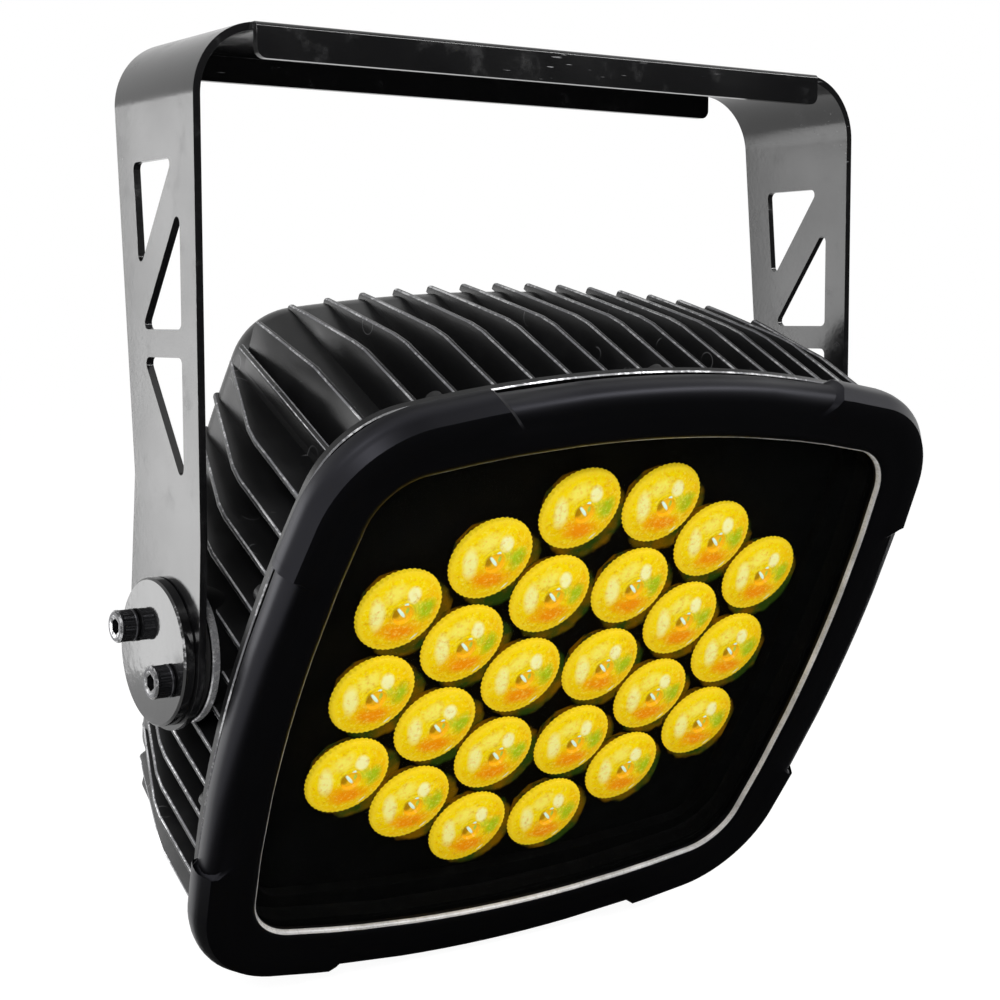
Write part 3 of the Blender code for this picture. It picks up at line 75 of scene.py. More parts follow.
# Yoke, measured from the pivot.
YOKE_WIDTH = 0.336
SHEET = 0.003
SHEET_EDGE_RADIUS = 0.0005
BEND_RADIUS = 0.028
PIVOT_DROP = 0.2385
BAR_FRONT = -0.034
BAR_BACK = 0.038
BAR_CENTRE = (BAR_FRONT + BAR_BACK) / 2
LIP_HEIGHT = 0.0135
LIP_HALF_LENGTH = 0.143
LIP_EDGE_RADIUS = 0.0018
LIP_CORNER_RADIUS = 0.004
ARM_WAIST = Vector((0.023, 0.068))
ARM_FRONT_KNEE = 0.045
ARM_END_MARGIN = 0.007
CUTOUT_FRONT_MARGIN = 0.013
CUTOUT_BACK_MARGIN = 0.0145
CUTOUT_TOP = 0.189
CUTOUT_TIP = 0.1465
CUTOUT_SILL = 0.1247
CUTOUT_SLOPE = 1.37
CUTOUT_CROSSBAR = 0.0107
CUTOUT_FOOT = 0.064
CUTOUT_CORNER = 0.0025
HANG_HOLE_RADIUS = 0.0065
HANG_HOLE_SPACING = 0.120

# Tilt joint.
HEAD_TILT = math.radians(29.0)
PIVOT_BACK = 0.0405
PIVOT_RISE = 0.0015
HUB_RADIUS = 0.024
BOSS_LEDGE = 0.005
BOSS_NECK_DRAFT = 0.003
BOSS_FLANGE = 0.0035
BOSS_SINK = 0.010
WASHER_THICKNESS = 0.0034
WASHER_WIDTH = 0.0035
DISC_LEDGE = 0.005
DISC_EDGE = 0.0008
TILT_SCREW_MARGIN = 0.006
TILT_SCREW_RADIUS = 0.004
TILT_SCREW_LENGTH = 0.030
TILT_HEAD_RADIUS = 0.0065
TILT_HEAD_HEIGHT = 0.008
TILT_SOCKET_RADIUS = 0.0034
TILT_SOCKET_DEPTH = 0.0045
ARM_OUTER = YOKE_WIDTH / 2
ARM_INNER = ARM_OUTER - SHEET
BOSS_FACE = ARM_INNER - WASHER_THICKNESS - 2 * GAP
DISC_INNER = ARM_OUTER + GAP
DISC_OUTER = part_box("tilt_disc_right")[1].x
ARM_END_RADIUS = HUB_RADIUS + ARM_END_MARGIN
BOSS_RADIUS = HUB_RADIUS + BOSS_LEDGE
BOSS_NECK_RADIUS = HUB_RADIUS - BOSS_NECK_DRAFT
WASHER_RADIUS = HUB_RADIUS + WASHER_WIDTH
DISC_RADIUS = HUB_RADIUS + DISC_LEDGE
TILT_SCREW_OFFSET = HUB_RADIUS - TILT_SCREW_MARGIN

# Bezel.
SIDE_BOW = 0.560
TOP_BOW = 0.540
BEZEL_WIDTH = 0.024
BEZEL_FRONT = -0.014
BEZEL_BACK = 0.0012
BEZEL_WALL_BACK = -0.0015
BEZEL_DRAFT = 0.0008
BEZEL_REBATE = 0.0055
BEZEL_LIP = 0.0046
LIP_BACK = BEZEL_FRONT + BEZEL_LIP
GLASS_POCKET = 0.007
BUMPER_START = 0.009
BUMPER_OUT = 0.0025
BUMPER_FORWARD = 0.0014
BUMPER_TOP_INNER = 0.070
BUMPER_TOP_SLANT = 0.875
BUMPER_SIDE_INNER = 0.0625
BUMPER_SIDE_SLANT = 0.66
BUMPER_RAMP = 0.0016

# Heat sink.
CORE_HALF = (0.137, 0.1265)
BOSS_DEPTH = BOSS_FACE - CORE_HALF[0] + BOSS_SINK
FLANGE_FRONT = 0.0033
FLANGE_BACK = 0.0068
FIN_PITCH = 0.0169
TOP_FIN_PAIRS = 7
SIDE_FIN_PAIRS = 6
FLANGE_HALF = (0.1575, 0.1455)
CORNER_FIN_ANGLE = math.radians(33.0)
CORNER_FIN_REACH = 0.022
FIN_START_INSET = 0.0013
FIN_ROOT_SINK = 0.003
FIN_KINK = 0.050
FIN_KINK_INSET = 0.0022
FIN_END = 0.112
FIN_END_DOME = 0.014
FIN_END_INSET = 0.0188
FIN_END_LIFT = 0.0042
LAST_FIN_PLACE = 0.130
LAST_FIN = (0.0088, 0.0935)
CORNER_FIN = (0.0135, 0.0975)
CORE_BACK = 0.113
CORE_EDGE_RADIUS = 0.012
RECESS_INSET = 0.011
WEB_THICKNESS = 0.006
WALL = 0.006
BACK_RIM_DEPTH = 0.009
BACK_RIM_WIDTH = CORE_EDGE_RADIUS + 0.009
BEZEL_SCREW_INSET = 0.0045
SCREW_BOSS_HEIGHT = 0.0034

# Lenses.
LENS_PITCH = 0.042
LENS_COLUMNS = (3, 4, 5, 5, 4, 3)
LENS_RIM = 0.0025
LENS_DOME = 0.0028
LENS_DEPTH = 0.0197
BOARD_STACK = 0.0060
WEB_FRONT = LENS_DEPTH + BOARD_STACK
WEB_BACK = WEB_FRONT + WEB_THICKNESS
LENS_NECK_RADIUS = 0.0172
LENS_FOOT_RADIUS = 0.0065
LENS_TIP_RADII = (0.0004, 0.0016, 0.0026, 0.0033)
LENS_TIP_FALL = 0.0007
LENS_TIP_SINK = 0.0004
LENS_GROOVE_RADIUS = 0.0039
LENS_GROOVE_DEPTH = 0.0014
LENS_GROOVE_RIM = 0.0046
LENS_FACE_SHARES = (0.36, 0.5, 0.64, 0.78, 0.9)

# Rear cover.
COVER_FRONT = 0.1148
COVER_BACK = 0.1181
COVER_SCREW_INSET = CORE_EDGE_RADIUS + 0.0035
COVER_SCREW_COLUMNS = (-0.086, 0.001, 0.086)
COVER_SCREW_ROWS = (-0.048, 0.048)
BUTTON_HEIGHT = 0.030
BUTTON_PITCH = 0.024
BUTTON_RADIUS = 0.005
BUTTON_PROUD = 0.0022
BUTTON_FLANGE_RADIUS = 0.0065
BUTTON_FLANGE = 0.0012
BUTTON_STEM = 0.004
SOCKET_HEIGHT = -0.032
SOCKET_PITCH = 0.044
SOCKET_RADIUS = 0.0115
SOCKET_BORE = 0.0088
SOCKET_FLANGE_RADIUS = 0.0150
SOCKET_FLANGE = 0.0024
SOCKET_PIN_CIRCLE = 0.0052
SOCKET_PINS = (5, 5, 3, 3)
SOCKET_PROUD = 0.0085
SOCKET_FLOOR = -0.009
SOCKET_BEHIND = 0.014
VENT_PLACE = (0.084, 0.062)
VENT_RADIUS = 0.007
EYE_HEIGHT = 0.088
EYE_RADIUS = 0.011
EYE_WIRE = 0.003
EYE_ROOT = 0.006
EYE_RISE = 0.010

YOKE_PLACE = Matrix.Translation((0, -BAR_CENTRE, -PIVOT_DROP))
HEAD_PLACE = (
    YOKE_PLACE
    @ Matrix.Rotation(HEAD_TILT, 4, "X")
    @ Matrix.Translation((0, -PIVOT_BACK, -PIVOT_RISE))
)
SHARP = math.radians(35)


class Outline:
    """A rounded square with bowed sides, made of eight arcs that run into each other."""

    def __init__(self, half_width, half_height, corner, side_bow=SIDE_BOW, top_bow=TOP_BOW):
        self.side_centre = half_width - side_bow
        self.top_centre = half_height - top_bow
        self.side_bow = side_bow
        self.top_bow = top_bow
        self.corner = corner
        first = side_bow - corner
        second = top_bow - corner
        span = Vector((-self.side_centre, self.top_centre))
        along = (first**2 - second**2 + span.length_squared) / (2 * span.length)
        across = math.sqrt(first**2 - along**2)
        step = span.normalized()
        middle = Vector((self.side_centre, 0)) + step * along
        self.corner_centre = middle + Vector((-step.y, step.x)) * across
        centre = self.corner_centre
        self.side_end = math.atan2(centre.y, centre.x - self.side_centre)
        self.top_start = math.atan2(centre.y - self.top_centre, centre.x)

    def side(self, angle, offset=0.0):
        radius = self.side_bow + offset
        return Vector((self.side_centre + radius * math.cos(angle), radius * math.sin(angle)))

    def corner_point(self, angle, offset=0.0):
        radius = self.corner + offset
        return self.corner_centre + radius * Vector((math.cos(angle), math.sin(angle)))

    def top(self, angle, offset=0.0):
        radius = self.top_bow + offset
        return Vector((radius * math.cos(angle), self.top_centre + radius * math.sin(angle)))

    def ring(self, offset=0.0, side_steps=10, corner_steps=12, top_steps=10):
        """The whole outline as points in X and Z."""
        quarter = [self.side(self.side_end * i / side_steps, offset) for i in range(side_steps)]
        for i in range(corner_steps):
            angle = self.side_end + (self.top_start - self.side_end) * i / corner_steps
            quarter.append(self.corner_point(angle, offset))
        for i in range(top_steps + 1):
            angle = self.top_start + (math.pi / 2 - self.top_start) * i / top_steps
            quarter.append(self.top(angle, offset))
        left = [Vector((-p.x, p.y)) for p in reversed(quarter[:-1])]
        lower = [Vector((p.x, -p.y)) for p in reversed((quarter + left)[1:-1])]
        return quarter + left + lower

    def height_at(self, x, offset=0.0):
        if x <= self.top(self.top_start, offset).x:
            return self.top_centre + math.sqrt((self.top_bow + offset) ** 2 - x**2)
        centre = self.corner_centre
        return centre.y + math.sqrt(max(0.0, (self.corner + offset) ** 2 - (x - centre.x) ** 2))

    def width_at(self, z, offset=0.0):
        if z <= self.side(self.side_end, offset).y:
            return self.side_centre + math.sqrt((self.side_bow + offset) ** 2 - z**2)
        centre = self.corner_centre
        return centre.x + math.sqrt(max(0.0, (self.corner + offset) ** 2 - (z - centre.y) ** 2))


OPENING = Outline(0.137, 0.124, 0.026)
FLANGE = Outline(*FLANGE_HALF, 0.041)
CORE = Outline(*CORE_HALF, 0.025, 0.800, 0.750)


class Finish:
    """A material whose nodes are wired one call at a time, on Object coordinates."""

    def __init__(self, name):
        self.material = bpy.data.materials.new(name)
        self.material.use_nodes = True
        self.tree = self.material.node_tree
        self.shader = self.tree.nodes["Principled BSDF"]
        self.place = self.node("ShaderNodeTexCoord").outputs["Object"]

    def node(self, kind, **settings):
        made = self.tree.nodes.new(kind)
        for name, value in settings.items():
            setattr(made, name, value)
        return made

    def feed(self, socket, value):
        if isinstance(value, bpy.types.NodeSocket):
            self.tree.links.new(value, socket)
        elif isinstance(value, tuple) and len(value) == 3 and socket.type == "RGBA":
            socket.default_value = (*value, 1.0)
        else:
            socket.default_value = value

    def set(self, **values):
        """Sets or links the shader's sockets; _ stands for a space."""
        for name, value in values.items():
            self.feed(self.shader.inputs[name.replace("_", " ")], value)

    def mapped(self, scale=(1, 1, 1), turn=(0, 0, 0)):
        """Object coordinates, stretched and turned."""
        mapping = self.node("ShaderNodeMapping")
        mapping.inputs["Scale"].default_value = scale
        mapping.inputs["Rotation"].default_value = turn
        self.feed(mapping.inputs["Vector"], self.place)
        return mapping.outputs["Vector"]

    def noise(self, scale, detail=3.0, roughness=0.55, place=None):
        made = self.node("ShaderNodeTexNoise")
        made.inputs["Scale"].default_value = scale
        made.inputs["Detail"].default_value = detail
        made.inputs["Roughness"].default_value = roughness
        self.feed(made.inputs["Vector"], place or self.place)
        return made.outputs["Fac"]

    def cells(self, scale, feature="F1", place=None):
        made = self.node("ShaderNodeTexVoronoi", feature=feature)
        made.inputs["Scale"].default_value = scale
        self.feed(made.inputs["Vector"], place or self.place)
        return made.outputs["Distance"]

    def math(self, operation, first, second=0.0):
        made = self.node("ShaderNodeMath", operation=operation)
        self.feed(made.inputs[0], first)
        self.feed(made.inputs[1], second)
        return made.outputs[0]

    def times(self, first, second):
        return self.math("MULTIPLY", first, second)

    def plus(self, first, second):
        return self.math("ADD", first, second)

    def length(self, first, second):
        squares = (self.math("POWER", value, 2.0) for value in (first, second))
        return self.math("SQRT", self.plus(*squares))

    def span(self, value, low, high, to_low=0.0, to_high=1.0):
        """A value's range mapped to another, clamped."""
        made = self.node("ShaderNodeMapRange")
        for socket, number in zip(made.inputs[1:5], (low, high, to_low, to_high)):
            socket.default_value = number
        self.feed(made.inputs[0], value)
        return made.outputs[0]

    def blend(self, factor, first, second):
        made = self.node("ShaderNodeMix", data_type="RGBA")
        self.feed(made.inputs[0], factor)
        self.feed(made.inputs[6], first)
        self.feed(made.inputs[7], second)
        return made.outputs[2]

    def bump(self, height, strength, distance):
        made = self.node("ShaderNodeBump")
        made.inputs["Strength"].default_value = strength
        made.inputs["Distance"].default_value = distance
        self.feed(made.inputs["Height"], height)
        self.feed(self.shader.inputs["Normal"], made.outputs["Normal"])

    def scratches(self, scale, turn, amount):
        """Long thin marks: noise stretched along one way and cut high."""
        lines = self.noise(scale, 2.0, 0.5, self.mapped((1, 14, 14), turn))
        spots = self.span(self.noise(scale / 9, 2.0), 0.55, 0.68)
        return self.times(self.span(lines, 0.74 - amount, 0.78 - amount), spots)


def paint(name, colour, roughness, scuff, grain=900.0, wear=0.02, shine=0.5):
    """Sprayed paint with an orange-peel skin, scuffs and fine scratches."""
    finish = Finish(name)
    patches = finish.noise(14.0, 4.0)
    dust = finish.span(finish.noise(60.0, 5.0, 0.65), 0.56, 0.76)
    marks = finish.scratches(70.0, (0.3, 0.5, 0.9), wear)
    pale = tuple(0.6 * c + 0.4 * s for c, s in zip(colour, scuff))
    body = finish.blend(finish.times(dust, 0.10), colour, pale)
    finish.set(
        Base_Color=finish.blend(marks, body, scuff),
        Roughness=finish.plus(
            finish.span(patches, 0.3, 0.7, roughness - 0.06, roughness + 0.06),
            finish.times(dust, 0.12),
        ),
        Specular_IOR_Level=shine,
    )
    finish.bump(finish.noise(grain, 2.0), 0.10, 0.0003)
    return finish.material


def casting(name, colour, roughness):
    """Painted die casting: grain, faint pale patches and the arcs left by ejector pins."""
    finish = Finish(name)
    patches = finish.span(finish.noise(26.0, 4.0), 0.52, 0.72)
    ring = finish.math("ABSOLUTE", finish.math("SUBTRACT", finish.cells(62.0), 0.24))
    arc = finish.times(
        finish.span(ring, 0.006, 0.018, 1.0, 0.0),
        finish.span(finish.noise(40.0), 0.56, 0.62),
    )
    tone = finish.blend(finish.times(patches, 0.5), colour, tuple(c * 2.6 for c in colour))
    finish.set(
        Base_Color=finish.blend(finish.times(arc, 0.7), tone, (0.16, 0.16, 0.165)),
        Roughness=finish.span(patches, 0.0, 1.0, roughness, roughness + 0.14),
        Specular_IOR_Level=0.35,
    )
    finish.bump(finish.noise(1500.0, 3.0), 0.22, 0.0002)
    return finish.material


def edge_wear_and_highlight(name, colour, bare, share, roughness=0.34, scale=180.0):
    """An edge where the paint has rubbed thin and bare metal shows in places; a COLOUR lighter than
    the paint is a painted highlight along the edge.
    """
    finish = Finish(name)
    grit = finish.noise(scale, 5.0, 0.7)
    long_runs = finish.noise(scale / 12, 2.0)
    mask = finish.span(finish.plus(grit, long_runs), 1.14 - share, 1.26 - share)
    finish.set(
        Base_Color=finish.blend(mask, colour, bare),
        Roughness=finish.span(grit, 0.3, 0.7, roughness - 0.08, roughness + 0.1),
        Metallic=finish.times(mask, 0.6),
    )
    finish.bump(grit, 0.15, 0.0002)
    return finish.material


def metal(name, colour, roughness, grain=(1, 1, 1), metallic=0.9):
    """Brushed or plain metal with streaks and faint stains."""
    finish = Finish(name)
    streaks = finish.noise(420.0, 3.0, 0.6, finish.mapped(grain))
    stain = finish.span(finish.noise(48.0, 4.0), 0.4, 0.7)
    finish.set(
        Base_Color=finish.blend(stain, colour, tuple(c * 1.7 for c in colour)),
        Roughness=finish.span(streaks, 0.3, 0.7, roughness - 0.07, roughness + 0.09),
        Metallic=metallic,
    )
    finish.bump(streaks, 0.12, 0.0002)
    return finish.material


def moulded(name, colour, roughness, grain=700.0, shine=0.5):
    """Moulded plastic or rubber with a fine grain and faint dust."""
    finish = Finish(name)
    dust = finish.span(finish.noise(90.0, 5.0, 0.65), 0.5, 0.8)
    pale = tuple(c * 2.2 + 0.01 for c in colour)
    finish.set(
        Base_Color=finish.blend(finish.times(dust, 0.3), colour, pale),
        Roughness=finish.span(finish.noise(30.0), 0.3, 0.7, roughness - 0.05, roughness + 0.08),
        Specular_IOR_Level=shine,
    )
    finish.bump(finish.noise(grain, 3.0), 0.18, 0.0002)
    return finish.material


def circuit(name, colour, track):
    """A printed board: tracks on a fine grid under a solder mask."""
    finish = Finish(name)
    tracks = finish.span(finish.cells(260.0, "DISTANCE_TO_EDGE"), 0.03, 0.06, 1.0, 0.0)
    finish.set(
        Base_Color=finish.blend(tracks, colour, track),
        Roughness=finish.span(finish.noise(120.0), 0.3, 0.7, 0.35, 0.5),
    )
    finish.bump(tracks, 0.3, 0.0001)
    return finish.material


def pane(name, tint, cover):
    """Clear coated glass: nearly all light passes, and the coating leaves a weak sheen."""
    finish = Finish(name)
    finish.set(
        Base_Color=tint,
        Roughness=finish.span(finish.noise(40.0), 0.3, 0.7, 0.02, 0.05),
        Alpha=cover,
    )
    return finish.material


def lens_face(name, colour, glow):
    """An amber collimator's face, drawn on its own place across and up from its middle, with painted
    reflections, glints, shade and glow.
    """
    finish = Finish(name)
    own = finish.node("ShaderNodeAttribute", attribute_name="lens_place").outputs["Vector"]
    parts = finish.node("ShaderNodeSeparateXYZ")
    finish.feed(parts.inputs[0], own)
    across, up = parts.outputs["X"], parts.outputs["Z"]
    ripple = finish.span(finish.noise(190.0, 4.0), 0.3, 0.7, -0.22, 0.22)

    def spot(place, reach, turn=0.0, soft=0.45, rough=1.0):
        """A soft oval patch: 1 in its middle, 0 outside."""
        dx = finish.plus(across, -place[0])
        dz = finish.plus(up, -place[1])
        c, s = math.cos(turn), math.sin(turn)
        along = finish.plus(finish.times(dx, c / reach[0]), finish.times(dz, s / reach[0]))
        aside = finish.plus(finish.times(dz, c / reach[1]), finish.times(dx, -s / reach[1]))
        away = finish.plus(finish.length(along, aside), finish.times(ripple, rough))
        return finish.span(away, 1.0 - soft, 1.0 + soft, 1.0, 0.0)

    def dab(tone, mask, share, tint):
        return finish.blend(finish.times(mask, share), tone, tint)

    radius = finish.length(across, up)
    # Painted shade: the face turns darker orange towards its right side and its lower part.
    right = finish.span(finish.plus(across, ripple), 0.2, 1.1)
    below = finish.span(finish.plus(up, ripple), -1.1, 0.1, 0.55, 0.0)
    tone = finish.blend(right, colour, (0.95, 0.50, 0.0))
    tone = finish.blend(below, tone, (0.85, 0.45, 0.0))
    rings = finish.math("SINE", finish.times(radius, 70.0))
    ringed = finish.times(finish.span(rings, 0.1, 0.8), spot((-0.02, 0.22), (0.42, 0.24)))
    dark_grain = finish.span(finish.noise(430.0, 5.0, 0.75), 0.50, 0.66)
    pale_grain = finish.span(finish.noise(610.0, 5.0, 0.75), 0.52, 0.66)
    tone = dab(tone, ringed, 0.55, (0.62, 0.50, 0.01))
    # Painted refractions: orange patches low on the face, green ones to its right.
    tone = dab(tone, spot((0.03, -0.42), (0.40, 0.22)), 0.85, (1.0, 0.25, 0.0))
    tone = dab(tone, spot((-0.20, -0.22), (0.22, 0.16)), 0.5, (0.95, 0.34, 0.0))
    tone = dab(tone, spot((0.58, 0.06), (0.20, 0.24)), 0.75, (0.26, 0.55, 0.01))
    tone = dab(tone, spot((0.30, 0.18), (0.12, 0.14)), 0.45, (0.40, 0.62, 0.04))
    # Painted reflections: pale yellow-white patches to the left and near the top.
    tone = dab(tone, spot((-0.60, 0.02), (0.14, 0.34), 0.2, 0.35, 0.6), 0.75, (1.0, 1.0, 0.42))
    tone = dab(tone, spot((0.16, 0.46), (0.15, 0.19), 0.5, 0.25, 0.6), 0.9, (1.0, 1.0, 0.50))
    tone = dab(tone, spot((-0.30, 0.50), (0.26, 0.16), 0.6), 0.5, (1.0, 0.95, 0.22))
    tone = dab(tone, dark_grain, 0.50, (0.62, 0.30, 0.0))
    tone = dab(tone, pale_grain, 0.45, (1.0, 0.95, 0.16))
    tone = dab(tone, finish.span(radius, 0.86, 0.93), 0.75, (0.96, 0.70, 0.02))
    # Painted image of the centre dome: orange, with painted shade on its left and a green patch to
    # its right.
    tone = dab(tone, spot((0.0, 0.0), (0.25, 0.25), 0.0, 0.12, 0.3), 0.8, (0.90, 0.48, 0.01))
    tone = dab(tone, spot((-0.17, 0.04), (0.09, 0.15), 0.2, 0.3, 0.4), 0.75, (0.30, 0.14, 0.0))
    tone = dab(tone, spot((0.11, 0.08), (0.05, 0.06), 0.0, 0.3, 0.3), 0.8, (0.35, 0.62, 0.08))
    # Painted glints: a bar across the dome, a dot above it and a streak near the lower rim.
    glint = spot((-0.04, 0.04), (0.15, 0.035), -0.81, 0.3, 0.1)
    upper_glint = spot((0.02, 0.25), (0.05, 0.04), 0.4, 0.3, 0.1)
    lower_glint = finish.times(spot((0.50, -0.66), (0.09, 0.025), 0.9, 0.4, 0.6), 0.7)
    for other in (upper_glint, lower_glint):
        glint = finish.math("MAXIMUM", glint, other)
    tone = dab(tone, glint, 1.0, (0.75, 1.0, 0.85))
    # Painted glow: the face sends out its own colours at strength GLOW, though the lamp is off.
    finish.set(
        Base_Color=tone,
        Roughness=finish.span(finish.noise(220.0), 0.3, 0.7, 0.14, 0.26),
        Specular_IOR_Level=0.14,
        Emission_Color=tone,
        Emission_Strength=glow,
    )
    finish.bump(finish.noise(340.0, 2.0), 0.12, 0.0004)
    return finish.material


def lens_wall(name):
    """The dark amber side of a lens, mottled at random with green as a painted view of the tray
    through it, and with a painted glow.
    """
    finish = Finish(name)
    depth = finish.noise(150.0, 4.0)
    tone = finish.blend(finish.span(depth, 0.42, 0.62), (0.30, 0.13, 0.0), (0.03, 0.05, 0.004))
    # Painted glow: the wall sends out its own colour.
    finish.set(
        Base_Color=tone,
        Roughness=finish.span(depth, 0.3, 0.7, 0.15, 0.3),
        Specular_IOR_Level=0.3,
        Emission_Color=tone,
        Emission_Strength=0.25,
    )
    return finish.material


def lens_tray(name, painted_light_shift):
    """The black tray, with a painted glow of amber light on it beside each lens, where daylight
    through the lens would fall.
    """
    finish = Finish(name)
    mapping = finish.node("ShaderNodeMapping")
    back = HEAD_PLACE.inverted()
    mapping.inputs["Location"].default_value = back.to_translation()
    mapping.inputs["Rotation"].default_value = back.to_euler()
    finish.feed(mapping.inputs["Vector"], finish.place)
    parts = finish.node("ShaderNodeSeparateXYZ")
    finish.feed(parts.inputs[0], mapping.outputs["Vector"])
    step = LENS_PITCH * math.sqrt(3) / 2
    side = finish.math("ABSOLUTE", finish.plus(parts.outputs["X"], -painted_light_shift[0]))
    side = finish.math("DIVIDE", finish.plus(side, -LENS_PITCH / 2), step)
    column = finish.math("MAXIMUM", finish.math("ROUND", side), 0.0)
    dx = finish.times(finish.math("SUBTRACT", side, column), step)
    half = finish.times(finish.math("MODULO", column, 2.0), 0.5)
    up = finish.math("DIVIDE", finish.plus(parts.outputs["Z"], -painted_light_shift[1]), LENS_PITCH)
    row = finish.math("SUBTRACT", up, half)
    dz = finish.times(finish.math("SUBTRACT", row, finish.math("ROUND", row)), LENS_PITCH)
    ragged = finish.span(finish.noise(160.0), 0.3, 0.7, -0.001, 0.001)
    away = finish.plus(finish.length(dx, dz), ragged)
    # Painted pool of light: an amber disc beside each lens, shifted from it the way daylight through
    # the lens would fall.
    disc = finish.span(away, 0.0175, 0.0195, 1.0, 0.0)
    reach = finish.times(finish.math("SUBTRACT", float(max(LENS_COLUMNS)), column), 0.5)
    inside = finish.math("LESS_THAN", finish.math("ABSOLUTE", up), reach)
    inside = finish.times(inside, finish.math("LESS_THAN", column, 2.5))
    light = finish.times(disc, inside)
    mottle = finish.span(finish.noise(70.0, 4.0), 0.40, 0.60)
    tint = finish.blend(mottle, (0.26, 0.12, 0.0), (0.03, 0.07, 0.004))
    finish.set(
        Base_Color=(0.0015, 0.0015, 0.0015),
        Roughness=finish.span(finish.noise(60.0), 0.3, 0.7, 0.6, 0.8),
        Specular_IOR_Level=0.1,
        Emission_Color=finish.blend(light, (0.0, 0.0, 0.0), tint),
        Emission_Strength=0.55,
    )
    return finish.material


class PaintLook(bpy.types.PropertyGroup):
    """Colours and wear of the painted pieces."""

    yoke: bpy.props.FloatVectorProperty(
        name="Yoke Paint", description="Colour of the yoke and the clamp discs",
        default=(0.0065, 0.0065, 0.007), subtype="COLOR", min=0.0, max=1.0,
    )
    casting: bpy.props.FloatVectorProperty(
        name="Casting", description="Colour of the finned casting and the rear cover",
        default=(0.006, 0.006, 0.0064), subtype="COLOR", min=0.0, max=1.0,
    )
    bezel: bpy.props.FloatVectorProperty(
        name="Bezel", description="Colour of the front frame",
        default=(0.0045, 0.0045, 0.0048), subtype="COLOR", min=0.0, max=1.0,
    )
    bare: bpy.props.FloatVectorProperty(
        name="Bare Metal", description="Colour where the paint has rubbed off",
        default=(0.55, 0.55, 0.56), subtype="COLOR", min=0.0, max=1.0,
    )
    wear: bpy.props.FloatProperty(
        name="Wear", description="How much of each edge is rubbed bare",
        default=0.10, min=0.0, max=0.4, subtype="FACTOR",
    )


class HeadSizes(bpy.types.PropertyGroup):
    """Sizes of the head's repeated pieces."""

    fin_thickness: bpy.props.FloatProperty(
        name="Fin Thickness", description="Thickness of each cooling fin",
        default=0.0023, min=0.001, max=0.004, unit="LENGTH",
    )
    fin_knob: bpy.props.FloatProperty(
        name="Fin End Radius", description="Rounding of each fin's rear outer corner",
        default=0.0010, min=0.0005, max=0.004, unit="LENGTH",
    )
    screw_head: bpy.props.FloatProperty(
        name="Small Screw Head", description="Radius of the bezel and cover screw heads",
        default=0.0028, min=0.002, max=0.004, unit="LENGTH",
    )
    screw_boss: bpy.props.FloatProperty(
        name="Screw Boss", description="Radius of the round bosses under the bezel screws",
        default=0.004, min=0.003, max=0.005, unit="LENGTH",
    )


class LensLook(bpy.types.PropertyGroup):
    """Sizes and colour of the lenses."""

    radius: bpy.props.FloatProperty(
        name="Lens Radius", description="Radius over the teeth of the rim",
        default=0.019, min=0.015, max=0.020, unit="LENGTH",
    )
    tooth: bpy.props.FloatProperty(
        name="Tooth Depth", description="How deep the rim's teeth are cut",
        default=0.0005, min=0.0, max=0.001, unit="LENGTH",
    )
    colour: bpy.props.FloatVectorProperty(
        name="Lens Colour", description="Colour of the lens face",
        default=(1.0, 0.73, 0.0), subtype="COLOR", min=0.0, max=1.0,
    )
    # Painted glow: how strongly the lens faces send out their own colour, standing for daylight that
    # the lenses gather.
    glow: bpy.props.FloatProperty(
        name="Painted Glow", description="Daylight that the lens gathers and sends back",
        default=0.32, min=0.0, max=1.0, subtype="FACTOR",
    )


class StageLook(bpy.types.PropertyGroup):
    """The studio round the lamp."""

    floor: bpy.props.FloatVectorProperty(
        name="Floor", description="Colour of the floor",
        default=(0.80, 0.80, 0.80), subtype="COLOR", min=0.0, max=1.0,
    )
    fill: bpy.props.FloatProperty(
        name="Room Light", description="Strength of the even light from all round",
        default=0.30, min=0.0, max=2.0,
    )
    softbox: bpy.props.FloatProperty(
        name="Softbox", description="Brightness of the softboxes",
        default=1.0, min=0.0, max=4.0,
    )


def sizes():
    return bpy.context.scene.wash_panel_sizes


def lens_look():
    return bpy.context.scene.wash_panel_lens


def finish_named(name):
    return bpy.data.materials[name]


def mesh_of(shape, name, smooth=True):
    """Turns a bmesh into a mesh with its faces pointing out."""
    bmesh.ops.recalc_face_normals(shape, faces=shape.faces)
    mesh = bpy.data.meshes.new(name)
    shape.to_mesh(mesh)
    shape.free()
    if smooth:
        mesh.shade_smooth()
        mesh.set_sharp_from_angle(angle=SHARP)
    return mesh


def loft(shape, rings, edges=(), closed=False):
    """Skins rows of points; rows whose number is in EDGES take the second material."""
    flag = shape.faces.layers.bool.get("edge") or shape.faces.layers.bool.new("edge")
    rows = [[shape.verts.new(p) for p in ring] for ring in rings]
    pairs = list(zip(rows, rows[1:]))
    if closed:
        pairs.append((rows[-1], rows[0]))
    for number, (first, second) in enumerate(pairs):
        for i in range(len(first)):
            j = (i + 1) % len(first)
            face = shape.faces.new((first[i], first[j], second[j], second[i]))
            face[flag] = number in edges
            face.material_index = int(number in edges)
    if not closed:
        shape.faces.new(rows[0])
        shape.faces.new(rows[-1])


def circle(depth, radius, segments=48, sides=0, tooth=0.0):
    """A ring round Y: round, with SIDES flats, or with every other point drawn in."""
    points = []
    for k in range(segments):
        angle = 2 * math.pi * k / segments
        reach = radius
        if sides:
            half = math.pi / sides
            reach = radius * math.cos(half) / math.cos((angle % (2 * half)) - half)
        elif k % 2:
            reach = radius - tooth
        points.append(Vector((reach * math.cos(angle), depth, reach * math.sin(angle))))
    return points


